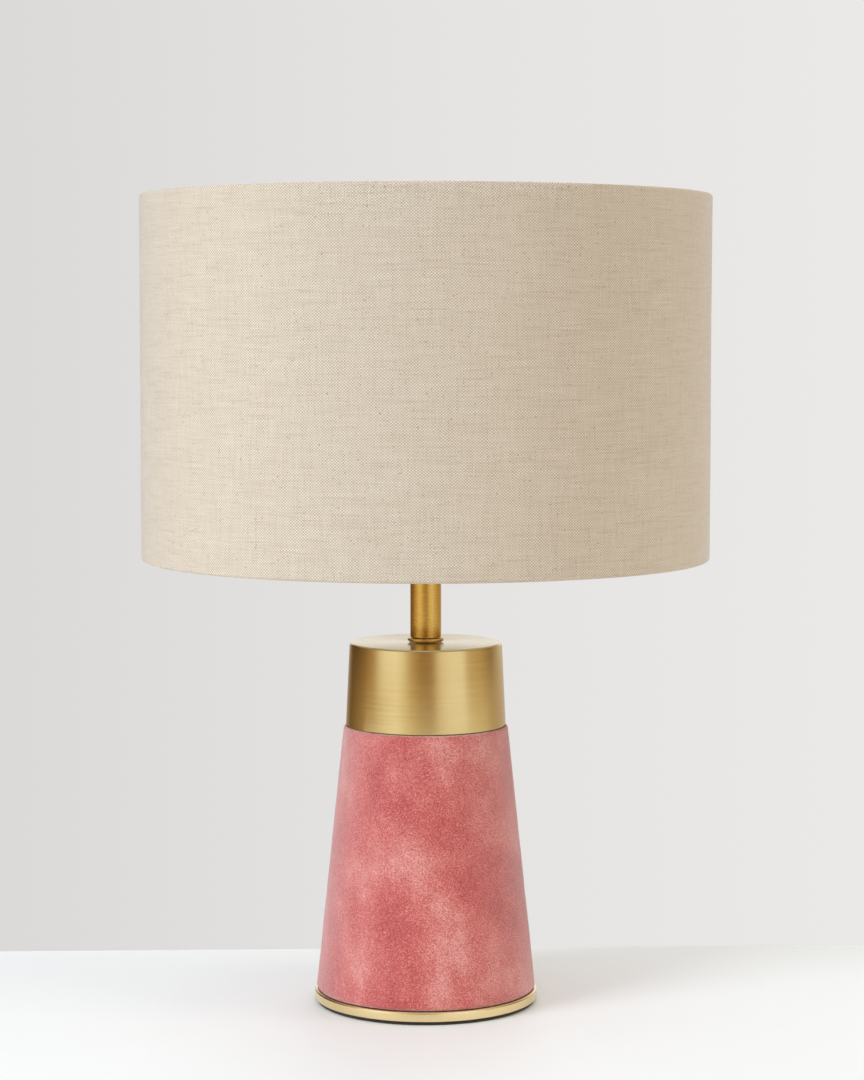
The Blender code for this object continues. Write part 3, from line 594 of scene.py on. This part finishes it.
def grommet_axis():
    """Middle of the bush's flange and the direction that the cord leaves in."""
    low, high = heights("velvet_cover")
    fall = outer_radius_at("velvet_cover", low) - outer_radius_at("velvet_cover", high)
    slope = math.atan(fall / (high - low))
    corner_low, corner_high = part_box("cable_grommet")
    outward = Vector((0, math.cos(slope), math.sin(slope)))
    flange_radius = (corner_high.x - corner_low.x) / 2
    outer_face_y = corner_high.y - flange_radius * math.sin(slope)
    outer_face_z = corner_high.z - flange_radius * math.cos(slope)
    return Vector((0, outer_face_y, outer_face_z)), outward, flange_radius


def inlet_place():
    face, outward, _ = grommet_axis()
    return face - outward * GROMMET_FLANGE


def make_grommet(finish):
    face, outward, flange_radius = grommet_axis()
    corners = [(GROMMET_BORE_RADIUS, -GROMMET_DEPTH, 0.5 * MM),
               (GROMMET_BARREL_RADIUS, -GROMMET_DEPTH, 0.5 * MM),
               (GROMMET_BARREL_RADIUS, -GROMMET_FLANGE, 0),
               (flange_radius, -GROMMET_FLANGE, 0.3 * MM), (flange_radius, 0, 1.4 * MM),
               (GROMMET_BORE_RADIUS, 0, 1.2 * MM)]
    item = lathe("inlet_bush", corners, sides=64)
    item.matrix_world = outward.to_track_quat("Z", "Y").to_matrix().to_4x4()
    item.location = face
    finish_piece(item, "root", "grommet_plastic", ["cable_grommet"], finish)


def make_cap(finish):
    """Spun brass cup: gently tapered wall, rounded top edge, flat top round the stem."""
    low, high = heights("brass_cap")
    low_radius = radius("brass_cap")
    high_radius = outer_radius_at("brass_cap", high) + CAP_EDGE
    hole = bore("brass_cap")
    corners = [(low_radius - CAP_WALL, low, 0), (low_radius, low, 0.35 * MM),
               (high_radius, high, CAP_EDGE), (hole, high, 0.2 * MM), (hole, high - CAP_WALL, 0),
               (high_radius - CAP_WALL, high - CAP_WALL, 0)]
    item = lathe("cap_cup", corners, sides=256, steps=8)
    finish_piece(item, "root", "brass", ["brass_cap"], finish)


def make_stem(finish):
    hole = bore("stem_collar")
    low, high = heights("stem_collar")
    r = radius("stem_collar")
    waist = r - 0.9 * MM
    seat = low + 0.2 * MM
    corners = [(hole, low, 0), (waist, low, 0.1 * MM), (waist, seat, 0), (r, seat, 0.85 * MM),
               (r, high, 0.9 * MM), (hole, high, 0)]
    collar = lathe("collar_bead", corners, sides=128, steps=8)
    finish_piece(collar, "root", "stem_brass", ["stem_collar"], finish)
    r = radius("stem_tube")
    inner = bore("stem_tube")
    low, high = heights("stem_tube")
    corners = [(inner, low, 0), (r, low, 0.25 * MM), (r, high, 0.25 * MM), (inner, high, 0)]
    stem = lathe("stem_pipe", corners, sides=128)
    finish_piece(stem, "root", "stem_brass", ["stem_tube"], finish)


# --- Lampholder ---

SCREW_PITCH = 3.63 * MM
SKIRT_THREAD_PITCH = 2.0 * MM
LEAF_WIDTH = 4 * MM
LEAF_THICKNESS = 0.45 * MM


def thread_wave(angle, z, pitch):
    """Height of a rounded screw thread from 0 to 1 at an angle and a height."""
    return 0.5 + 0.5 * math.cos(FULL_TURN * (z / pitch - angle / FULL_TURN))


def threaded_wall(low, high, crest, depth, pitch, step, upward=True):
    """Function of the angle that gives the (r, z) points of a threaded stretch of wall."""
    count = max(2, int((high - low) / step))
    heights = [low + (high - low) * k / count for k in range(count + 1)]
    if not upward:
        heights.reverse()

    def wall(angle):
        points = []
        for z in heights:
            fade = min(1.0, (z - low) / pitch, (high - z) / pitch)
            cut = depth * (1 - fade * thread_wave(angle, z, pitch))
            points.append((crest - cut, z))
        return points

    return wall


def make_holder_base(finish):
    low, high = heights("holder_base")
    r = radius("holder_base")
    hole = bore("holder_base")
    neck = outer_radius_at("holder_base", low, reach=1 * MM)
    wall = 2.2 * MM
    neck_height = 4 * MM
    shoulder_height = 12 * MM
    corners = [(hole, low, 0), (neck, low, 0.5 * MM), (neck, low + neck_height, 2 * MM),
               (r, low + shoulder_height, 3 * MM), (r, high, 0.4 * MM), (r - wall, high, 0),
               (r - wall, low + shoulder_height + 0.6 * wall, 0),
               (neck - 1.2 * MM, low + neck_height + wall, 0), (hole, low + neck_height + wall, 0)]
    item = lathe("holder_cup", corners, sides=96)
    finish_piece(item, "root", "holder_plastic", ["holder_base"], finish)


def make_skirt(finish):
    """Skirt with the flange that the shade rests on and a thread for the shade ring."""
    low, high = heights("holder_skirt")
    inner = bore("holder_skirt")
    flange = radius("holder_skirt")
    flange_top = low + 3 * MM
    crest = outer_radius_at("holder_skirt", high)
    depth = 0.7 * MM
    wall = threaded_wall(flange_top + 0.2 * MM, high - 1 * MM, crest, depth, SKIRT_THREAD_PITCH,
                         0.25 * MM)

    def outline(angle):
        return [(inner, low), (flange - 0.5 * MM, low), (flange, low + 0.5 * MM),
                (flange, flange_top - 0.4 * MM), (flange - 0.4 * MM, flange_top),
                (crest - depth, flange_top), *wall(angle), (crest - 0.9 * MM, high - 0.3 * MM),
                (crest - 1.4 * MM, high), (inner + 0.4 * MM, high), (inner, high - 0.4 * MM)]

    item = turned("threaded_skirt", outline, 128)
    finish_piece(item, "root", "holder_plastic", ["holder_skirt"], finish)


def make_sleeve(finish):
    """Inner sleeve whose rounded thread takes the bulb."""
    low, high = heights("thread_sleeve")
    outer = radius("thread_sleeve")
    inner = bore("thread_sleeve")
    depth = 0.7 * MM
    wall = threaded_wall(low + 5 * MM, high - 1 * MM, inner + depth, depth, SCREW_PITCH, 0.4 * MM,
                         upward=False)

    def outline(angle):
        return [(inner, low), (outer, low), (outer, high - 0.4 * MM), (outer - 0.4 * MM, high),
                (inner + 0.8 * MM, high), *wall(angle)]

    item = turned("screw_sleeve", outline, 96)
    finish_piece(item, "root", "holder_plastic", ["thread_sleeve"], finish)


def make_contacts(finish):
    """Leaf springs: a bowed strip for the bulb's tip and a hooked tab for its shell."""
    centre_low, centre_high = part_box("centre_contact")
    side_low, side_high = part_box("side_contact")
    thick = centre_high.z - centre_low.z
    rise = 0.9 * MM
    middle_z = centre_low.z + thick / 2
    centre_path = []
    for step in range(15):
        share = step / 14
        x = centre_low.x + share * (centre_high.x - centre_low.x)
        bow = rise * math.sin(math.pi * share) ** 2
        centre_path.append((x, 0, middle_z + bow))
    strip("centre_leaf", centre_path, ["centre_contact"], finish)
    foot_z = side_low.z + thick / 2
    tab_x = side_low.x + thick / 2
    side_path = [(side_low.x - 3 * MM, 0, foot_z), (side_low.x, 0, foot_z),
                 (tab_x, 0, side_low.z + 1.2 * MM), (tab_x, 0, side_high.z - 0.2 * MM)]
    strip("side_leaf", smooth_path(side_path, 16), ["side_contact"], finish)


def strip(name, path, replaced, finish):
    """Leaf spring of even width along a path in the XZ plane."""
    points = []
    for place in path:
        points.append(Vector(place) - Vector((0, LEAF_WIDTH / 2, 0)))
        points.append(Vector(place) + Vector((0, LEAF_WIDTH / 2, 0)))
    faces, _ = grid_faces(len(path), 2, False, False)
    item = mesh_object(name, points, faces)
    thicken(item, "metal thickness", LEAF_THICKNESS)
    finish_piece(item, "root", "brass", replaced, finish)


def make_shade_ring(finish):
    """Clamping ring with a ribbed grip and a thread inside."""
    low, high = heights("shade_ring")
    grip = radius("shade_ring")
    inner = bore("shade_ring")
    neck = outer_radius_at("shade_ring", high)
    grip_top = low + 3.5 * MM
    ribs = 36
    rib_depth = 0.7 * MM
    depth = 0.25 * MM
    root = inner + depth
    wall = threaded_wall(low + 0.5 * MM, high - 0.5 * MM, root, depth, SKIRT_THREAD_PITCH,
                         0.3 * MM, upward=False)

    def outline(angle):
        rib = rib_depth * (0.5 - 0.5 * math.cos(ribs * angle)) ** 2
        edge = grip - rib
        return [(root, low), (edge - 0.5 * MM, low), (edge, low + 0.5 * MM),
                (edge, grip_top - 0.7 * MM), (edge - 0.7 * MM, grip_top),
                (neck + 0.8 * MM, grip_top), (neck + 0.2 * MM, grip_top + 0.6 * MM),
                (neck, high - 0.5 * MM), (neck - 0.5 * MM, high), (inner + 0.4 * MM, high),
                *wall(angle)]

    item = turned("ribbed_shade_ring", outline, 36 * 12)
    finish_piece(item, "shade_ring", "holder_plastic", ["shade_ring"], finish)


# --- Shade ---

LINEN_THICKNESS = 0.5 * MM
SEAM_LAP = 11 * MM
HEM_DEPTH = 9 * MM
LINER_FILM = 0.4 * MM
LINER_LAP = 12 * MM
# The drawn wire is a little fuller than its faceted node.
WIRE_FULLNESS = 1.06


def hoop_section(node):
    """Radius and height of a hoop's middle line, and the radius of its wire."""
    low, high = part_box(node)
    wire = (high.z - low.z) / 2 * WIRE_FULLNESS
    return high.x - wire, (low.z + high.z) / 2, wire


def shade_waver(angle, z):
    """Slight unevenness of the drum's wall, a fraction of a millimetre in and out."""
    place = Vector((math.cos(angle) * 1.6, math.sin(angle) * 1.6, z * 9))
    return 0.22 * MM * noise.noise(place)


def linen_path():
    """The (r, z) line of the linen: lower hem, round the wire, up the wall, and over to the top hem."""
    low, high = heights("shade_linen")
    half = LINEN_THICKNESS / 2
    wall_radius = radius("shade_linen") - half - 0.35 * MM
    circle, _, wire_radius = hoop_section("shade_wire_lower")
    wire_bend = wire_radius + half + 0.15 * MM
    liner_face = bore("shade_liner") - half - 0.25 * MM
    centre_z = low + half + wire_bend
    hem = [(liner_face, low + HEM_DEPTH), (liner_face, low + 0.75 * HEM_DEPTH)]
    hem += [(circle + 0.5 * MM, centre_z + wire_bend + 0.9 * MM)]
    hem += arc(circle, centre_z, wire_bend, 110, 160, 8)
    bend = 1.3 * MM
    hem += arc(wall_radius - bend, low + half + bend, bend, 270, 90, 6)
    wall_steps = 44
    start = low + half + bend
    end = high - half - bend
    wall = [(wall_radius, start + (end - start) * k / wall_steps) for k in range(1, wall_steps)]
    mirrored = [(r, low + high - z) for r, z in reversed(hem)]
    return hem + wall + mirrored


def make_linen(finish):
    """One strip of linen wrapped round the drum, its end lapped over its start at the back."""
    path = linen_path()
    wall_radius = max(r for r, _ in path)
    lengths = [0.0]
    for (r0, z0), (r1, z1) in zip(path, path[1:]):
        lengths.append(lengths[-1] + math.hypot(r1 - r0, z1 - z0))
    sweep = FULL_TURN + SEAM_LAP / wall_radius
    rows = 400
    columns = len(path)
    step_width = 4 * MM
    step_height = 0.55 * MM
    rim_columns = 11
    notch_columns = 7
    points = []
    for row in range(rows):
        turn = sweep * row / (rows - 1)
        angle = BACK + turn
        covered = (SEAM_LAP - turn * wall_radius) / step_width + 1
        tuck = step_height * min(1.0, max(0.0, covered))
        outward = out_at(angle)
        for column, (r, z) in enumerate(path):
            side_tuck = -tuck if r < wall_radius - 1.4 * MM else tuck
            rim = 0.18 * MM * noise.noise(Vector((math.cos(angle) * 5, math.sin(angle) * 5, z * 40)))
            fray = 0.5 * MM * noise.noise(Vector((angle * 30, z * 10, 3.0)))
            shift = 0.0 if rim_columns <= column < columns - rim_columns else rim
            if column in (0, columns - 1):
                shift += fray
            reach = r - side_tuck + shade_waver(angle, z)
            points.append(outward * reach + lift(z + shift))
    spoke_turns = spoke_angles()
    notch_half = 4.5 * MM / wall_radius

    def keep(row, column):
        if column >= notch_columns:
            return True
        angle = BACK + sweep * (row + 0.5) / (rows - 1)
        return all(abs(math.remainder(angle - turn, FULL_TURN)) > notch_half for turn in spoke_turns)

    faces, steps = grid_faces(rows, columns, False, False, keep)
    uvs = [(sweep * wall_radius * row / (rows - 1), lengths[column]) for corners in steps
           for row, column in corners]
    item = mesh_object("linen_drum", points, faces, uvs)
    thicken(item, "cloth thickness", LINEN_THICKNESS)
    finish_piece(item, "shade", "linen", ["shade_linen"], finish)


def spoke_angles():
    """Angle of each spoke, from the middle of its node's box."""
    angles = []
    for name in sorted(frame["nodes"]):
        if name.startswith("shade_spoke_"):
            low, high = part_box(name)
            middle = (low + high) / 2
            angles.append(math.atan2(middle.y, middle.x))
    return angles


def make_liner(finish):
    """Film drum inside the linen, lapped in a joint at the back."""
    r = radius("shade_liner")
    inner = bore("shade_liner")
    low, high = heights("shade_liner")
    lap = LINER_LAP / r
    rows = 300
    columns = 30
    points = []
    for row in range(rows):
        turn = (FULL_TURN + lap) * row / (rows - 1)
        angle = BACK + 0.35 + turn
        step_in = 0.45 * MM * min(1.0, max(0.0, (turn - FULL_TURN) / lap * 4 + 1))
        for column in range(columns):
            z = low + (high - low) * column / (columns - 1)
            reach = (r + inner) / 2 - step_in + shade_waver(angle, z)
            points.append((reach * math.cos(angle), reach * math.sin(angle), z))
    faces, steps = grid_faces(rows, columns, False, False)
    step_length = r * (FULL_TURN + lap) / (rows - 1)
    step_height = (high - low) / (columns - 1)
    uvs = [(step_length * row, step_height * column) for corners in steps for row, column in corners]
    item = mesh_object("liner_drum", points, faces, uvs)
    thicken(item, "film thickness", LINER_FILM)
    finish_piece(item, "shade", "liner", ["shade_liner"], finish)


def make_hoops(finish):
    """Round wire hoops that the linen is turned over."""
    for end in ("lower", "upper"):
        section = arc(*hoop_section(f"shade_wire_{end}"), 0, 360, 16)[:-1]
        item = turned(f"wire_hoop_{end}", lambda angle: section, 256)
        finish_piece(item, "shade", "white_wire", [f"shade_wire_{end}"], finish)


def make_hub(finish):
    """Pressed ring with a raised lip round its hole."""
    low, high = heights("shade_hub")
    r = radius("shade_hub")
    inner = bore("shade_hub")
    corners = [(inner, low, 0.3 * MM), (r, low, 0.6 * MM), (r, high, 0.6 * MM),
               (inner, high, 0.3 * MM)]
    item = lathe("hub_ring", corners, sides=128, steps=4)
    finish_piece(item, "shade", "white_wire", ["shade_hub"], finish)


def make_spokes(finish):
    """Wire spokes: level on the hub's edge, bent down to the lower hoop, swollen at both welds."""
    hub_middle = sum(heights("shade_hub")) / 2
    hub_edge = radius("shade_hub")
    wire_low, wire_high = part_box("shade_wire_lower")
    hoop_radius = wire_high.x - (wire_high.z - wire_low.z) / 2
    hoop_middle = (wire_low.z + wire_high.z) / 2
    spoke = 1.4 * MM
    count = 40
    for number, angle in enumerate(spoke_angles(), start=1):
        start = out_at(angle) * (hub_edge + 0.6 * MM) + lift(hub_middle)
        end = out_at(angle) * (hoop_radius - 2.0 * MM) + lift(hoop_middle + 0.3 * MM)
        knee = start.lerp(end, 0.06) + lift(0.5 * MM)
        path = smooth_path([start, knee, start.lerp(end, 0.5), end], count)
        radii = []
        for index in range(count):
            share = index / (count - 1)
            weld = 0.5 * math.exp(-(share / 0.02) ** 2) + 0.25 * math.exp(-((1 - share) / 0.015) ** 2)
            radii.append(spoke * (1 + weld))
        item = tube(f"wire_spoke_{number}", path, radii)
        finish_piece(item, "shade", "white_wire", [f"shade_spoke_{number}"], finish)


# --- Bulb ---


def bulb_profile(share, neck, widest):
    """Radius of the flame-shaped glass from its neck (share 0) to its tip (share 1)."""
    belly = 0.32
    if share <= belly:
        return neck + (0.5 - 0.5 * math.cos(math.pi * share / belly)) * (widest - neck)
    fall = (share - belly) / (1 - belly)
    return widest * math.sqrt(max(0.0, 1 - fall ** 1.7))


def make_glass(finish):
    neck_low, tip = heights("bulb_glass")
    neck = outer_radius_at("bulb_glass", neck_low, reach=0.5 * MM)
    widest = radius("bulb_glass")
    start = top("bulb_cap") + 0.3 * MM
    glass = 0.7 * MM
    stations = 60
    outer = [(neck, neck_low)]
    inner = [(neck - glass, neck_low)]
    for station in range(stations):
        share = math.sin(math.pi / 2 * station / stations)
        reach = bulb_profile(share, neck, widest)
        outer.append((reach, start + share * (tip - start)))
        inner.append((max(reach - glass, 0.3 * MM), start + share * (tip - glass - start)))
    outline = [(0, tip)] + outer[::-1] + inner + [(0, tip - glass)]
    item = turned("bulb_envelope", lambda angle: outline, 96, closed=False)
    finish_piece(item, "bulb", "glass", ["bulb_glass"], finish)


def make_screw_shell(finish):
    """Thin metal shell with a rolled screw thread and a plain collar under the glass."""
    low, high = heights("bulb_cap")
    crest = radius("bulb_cap")
    depth = 0.75 * MM
    metal = 0.35 * MM
    thread_top = high - 3.5 * MM
    wall = threaded_wall(low + 0.3 * MM, thread_top, crest, depth, SCREW_PITCH, 0.35 * MM)

    def outline(angle):
        outer = [(crest - depth - 0.4 * MM, low), *wall(angle),
                 (crest - 0.3 * depth, thread_top + 0.6 * MM), (crest, thread_top + 1.2 * MM),
                 (crest, high - 0.3 * MM), (crest - 0.3 * MM, high)]
        inner = [(crest - 0.3 * MM - metal, high), (crest - metal, high - 0.6 * MM),
                 (crest - metal, thread_top + 1.4 * MM),
                 *((r - metal, z) for r, z in reversed(wall(angle))),
                 (crest - depth - 0.4 * MM - metal, low)]
        return outer + inner

    item = turned("screw_shell", outline, 96)
    finish_piece(item, "bulb", "bulb_metal", ["bulb_cap"], finish)


def make_bulb_foot(finish):
    """Glass insulator below the shell and the soldered contact at its tip."""
    low, high = heights("bulb_insulator")
    wide = radius("bulb_insulator")
    foot = 5.2 * MM
    corners = [(0, low, 0), (foot, low, 0.6 * MM), (wide, high - 2 * MM, 1.2 * MM),
               (wide, high, 0), (0, high, 0)]
    insulator = lathe("tip_insulator", corners, sides=64)
    finish_piece(insulator, "bulb", "ceramic", ["bulb_insulator"], finish)
    low, high = heights("bulb_tip")
    wide = radius("bulb_tip")
    outline = [(0, low)]
    for step in range(1, 9):
        angle = math.pi / 2 * step / 8
        outline.append((wide * math.sin(angle), low + 0.8 * (high - low) * (1 - math.cos(angle))))
    outline += [(wide, high), (0, high)]
    tip = turned("tip_button", lambda angle: outline, 64, closed=False)
    finish_piece(tip, "bulb", "bulb_metal", ["bulb_tip"], finish)


def make_filaments(finish):
    """Glass mount and LED sticks, joined by fine lead wires that run down into the mount."""
    low, high = heights("bulb_mount")
    wide = radius("bulb_mount")
    stalk = 0.45 * wide
    corners = [(0, low, 0), (wide, low, 0.6 * MM), (stalk, low + 0.6 * (high - low), 4 * MM),
               (stalk, high, 0.9 * MM), (0, high, 0)]
    mount = lathe("glass_mount", corners, sides=48)
    finish_piece(mount, "bulb", "glass", ["bulb_mount"], finish)
    crown = lift(top("bulb_filament_1") + 2.2 * MM)
    for number in range(1, 5):
        node = f"bulb_filament_{number}"
        low_corner, high_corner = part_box(node)
        stick = (high_corner.z - low_corner.z) * 0.028
        middle = (low_corner + high_corner) / 2
        level = Vector((middle.x, middle.y, 0))
        direction = level.normalized()
        lean = (high_corner.x - low_corner.x - 2 * stick) / math.sqrt(2)
        foot = direction * (level.length + lean) + lift(low_corner.z + 0.3 * MM)
        head = direction * (level.length - lean) + lift(high_corner.z - 0.3 * MM)
        shares = [step / 23 for step in range(24)]
        path = [foot.lerp(head, share) for share in shares]
        radii = [stick * math.sqrt(max(0.05, 1 - abs(2 * share - 1) ** 12)) for share in shares]
        item = tube(f"led_stick_{number}", path, radii, sides=14)
        finish_piece(item, "bulb", "filament", [node], finish)
        lead_low = [lift(high - 5 * MM) + direction * (stalk + 0.1 * MM), foot - lift(3 * MM),
                    foot + lift(0.2 * MM)]
        lead_high = [head - lift(0.2 * MM), head + lift(1.4 * MM), crown]
        for label, points in (("lower", lead_low), ("upper", lead_high)):
            lead = tube(f"lead_{label}_{number}", smooth_path(points, 14), [0.22 * MM] * 14, sides=8)
            finish_piece(lead, "bulb", "plated_steel", [], finish)


# --- Surroundings ---

CAMERA_DISTANCE = 1.446
CAMERA_HEIGHT = 0.3586
CAMERA_SIDE = 0.0033
CAMERA_PITCH = 0.0774
SENSOR = 36.0
LENS = 91.3
TABLE_BACK = 0.120
TABLE_TURN = math.radians(1.9)
TABLE_THICKNESS = 0.03
TABLE_FRONT = -0.9
TABLE_HALF_WIDTH = 0.9
TABLE_EDGE = 0.0015


def make_camera():
    data = bpy.data.cameras.new("camera")
    data.sensor_width = SENSOR
    data.lens = LENS
    camera = bpy.data.objects.new("camera", data)
    camera.location = (CAMERA_SIDE, -CAMERA_DISTANCE, CAMERA_HEIGHT)
    camera.rotation_euler = (math.pi / 2 - CAMERA_PITCH, 0, 0)
    bpy.context.scene.collection.objects.link(camera)
    bpy.context.scene.camera = camera


def make_floor():
    """Pale table top, which ends a little way behind the lamp."""
    material, tree, shader = new_material("pale_table", Roughness=0.6)
    tone = noise_at(tree, object_place(tree), scale=6, detail=4)
    two_tones(tree, shader, tone, (0.875, 0.885, 0.865), (0.895, 0.905, 0.885))
    points = [(x, y, z) for z in (-TABLE_THICKNESS, 0) for y in (TABLE_FRONT, TABLE_BACK)
              for x in (-TABLE_HALF_WIDTH, TABLE_HALF_WIDTH)]
    faces = [(0, 2, 3, 1), (4, 5, 7, 6), (0, 1, 5, 4), (2, 6, 7, 3), (0, 4, 6, 2), (1, 3, 7, 5)]
    floor = mesh_object("table_top", points, faces)
    floor.data.materials.append(material)
    floor.rotation_euler = (0, 0, TABLE_TURN)
    softened = floor.modifiers.new("soft edge", "BEVEL")
    softened.width = TABLE_EDGE
    softened.segments = 3


def area_light(name, place, target, width, height, power, color=(1, 1, 1)):
    data = bpy.data.lights.new(name, "AREA")
    data.shape = "RECTANGLE"
    data.size = width
    data.size_y = height
    data.energy = power
    data.color = color
    light = bpy.data.objects.new(name, data)
    light.location = place
    light.rotation_euler = (Vector(target) - Vector(place)).to_track_quat("-Z", "Y").to_euler()
    light.visible_glossy = False
    bpy.context.scene.collection.objects.link(light)


def make_lights():
    aim = (0, 0, 0.22)
    area_light("key_left", (-1.75, -1.35, 0.85), aim, 1.0, 1.5, 42, (0.925, 0.995, 1.11))
    area_light("fill_right", (1.9, -0.55, 0.6), aim, 0.9, 1.3, 15.5, (1.0, 0.885, 0.76))
    area_light("back_soft", (0.5, 2.3, 1.1), aim, 1.6, 1.6, 11)
    area_light("top_soft", (0, -0.2, 2.2), aim, 4.5, 4.5, 49, (1.0, 1.0, 0.99))


SCREEN_BEHIND = (0.98, 1.01, 1.06)
SCREEN_LEFT = (1.20, 1.20, 1.22)
GAP_AHEAD = (0.36, 0.20, 0.08)
FLOOR_BEHIND = (0.60, 0.52, 0.44)
# Bearing of each screen or gap from the camera's side, in degrees to the right, and its light,
# set so that the brass shows its bands.
STUDIO = [
    (-180, SCREEN_BEHIND), (-166, SCREEN_BEHIND),
    (-150, (0.07, 0.035, 0.012)), (-122, (0.10, 0.045, 0.015)),
    (-100, (0.28, 0.155, 0.06)), (-84, (0.52, 0.35, 0.19)),
    (-70, (1.06, 1.04, 1.00)), (-62, SCREEN_LEFT),
    (-42, SCREEN_LEFT), (-32, (0.98, 0.92, 0.82)),
    (-22, (0.60, 0.43, 0.25)), (-8, GAP_AHEAD),
    (5, GAP_AHEAD), (13, (0.58, 0.42, 0.25)),
    (21, (0.98, 0.93, 0.86)), (36, (1.09, 1.07, 1.03)),
    (56, (1.08, 1.06, 1.01)), (66, (0.66, 0.48, 0.27)),
    (84, (0.58, 0.41, 0.22)), (98, (0.42, 0.28, 0.13)),
    (114, (0.22, 0.13, 0.05)), (136, (0.60, 0.50, 0.42)),
    (156, SCREEN_BEHIND), (180, SCREEN_BEHIND),
]
# The same for what lies below the table's level.
STUDIO_LOW = [
    (-180, FLOOR_BEHIND), (-140, (0.20, 0.12, 0.05)),
    (-107, (0.44, 0.30, 0.15)), (-76, (0.62, 0.44, 0.18)),
    (-48, (0.78, 0.63, 0.28)), (-22, (0.78, 0.63, 0.27)),
    (-8, (0.60, 0.43, 0.18)), (8, (0.44, 0.29, 0.10)),
    (20, (0.70, 0.56, 0.36)), (34, (0.96, 0.92, 0.84)),
    (58, (1.02, 1.06, 1.10)), (74, (0.82, 0.76, 0.55)),
    (98, (0.74, 0.62, 0.40)), (126, (0.60, 0.50, 0.40)),
    (180, FLOOR_BEHIND),
]
HORIZON_HIGH = -0.035
HORIZON_LOW = -0.075


def bearing_ramp(tree, turn, screens):
    return ramp(tree, turn, [((degrees + 180) / 360, color) for degrees, color in screens])


def make_world():
    """Pale wall for the eye, white screens with darker gaps for the metal, even light for the rest."""
    world = bpy.data.worlds.new("studio")
    world.use_nodes = True
    tree = world.node_tree
    tree.nodes.clear()
    x, y, z = object_axes(tree)
    bearing = maths(tree, "ARCTAN2", x, maths(tree, "MULTIPLY", y, -1.0))
    turn = maths(tree, "MULTIPLY_ADD", bearing, 1 / FULL_TURN, 0.5)
    screens = bearing_ramp(tree, turn, STUDIO)
    lower = bearing_ramp(tree, turn, STUDIO_LOW)
    screens = blend_color(tree, spread(tree, z, HORIZON_LOW, HORIZON_HIGH), lower, screens)
    overhead = spread(tree, z, 0.55, 0.85)
    screens = blend_color(tree, overhead, screens, (0.80, 0.80, 0.81))
    wall = ramp(tree, spread(tree, x, -0.17, 0.17), [(0.0, (0.700, 0.692, 0.680)),
                                                     (0.5, (0.778, 0.770, 0.756)),
                                                     (1.0, (0.828, 0.820, 0.804))])
    even = ramp(tree, spread(tree, z, -1.0, 1.0), [(0.0, (0.90, 0.90, 0.90)),
                                                   (1.0, (0.93, 0.94, 0.96))])
    path = tree.nodes.new("ShaderNodeLightPath")
    soft, mirrored, seen = [add_node(tree, "Background", color, strength).outputs[0]
                            for color, strength in ((even, 0.30), (screens, 1.0), (wall, 1.0))]
    lit = add_node(tree, "MixShader", path.outputs["Is Glossy Ray"], soft, mirrored).outputs[0]
    shown = add_node(tree, "MixShader", path.outputs["Is Camera Ray"], lit, seen).outputs[0]
    add_node(tree, "OutputWorld", shown)
    bpy.context.scene.world = world
    bpy.context.scene.view_settings.view_transform = "Standard"


def dress_carried_nodes(finish):
    """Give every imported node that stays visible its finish."""
    slots = {part["node"]: part["material_slot"] for part in frame["record"]["subparts"]}
    for name, item in frame["nodes"].items():
        if not item.hide_render:
            item.data.materials.clear()
            item.data.materials.append(finish[slots[name]])


MAKERS = (make_pad, make_foot, make_velvet, make_grommet, make_cap, make_stem, make_holder_base,
          make_skirt, make_sleeve, make_contacts, make_shade_ring, make_hoops, make_liner, make_linen,
          make_hub, make_spokes, make_glass, make_screw_shell, make_bulb_foot, make_filaments,
          dress_carried_nodes)


def main():
    make_camera()
    make_world()
    make_lights()
    make_floor()
    finish = make_finishes()
    for make in MAKERS:
        make(finish)


main()
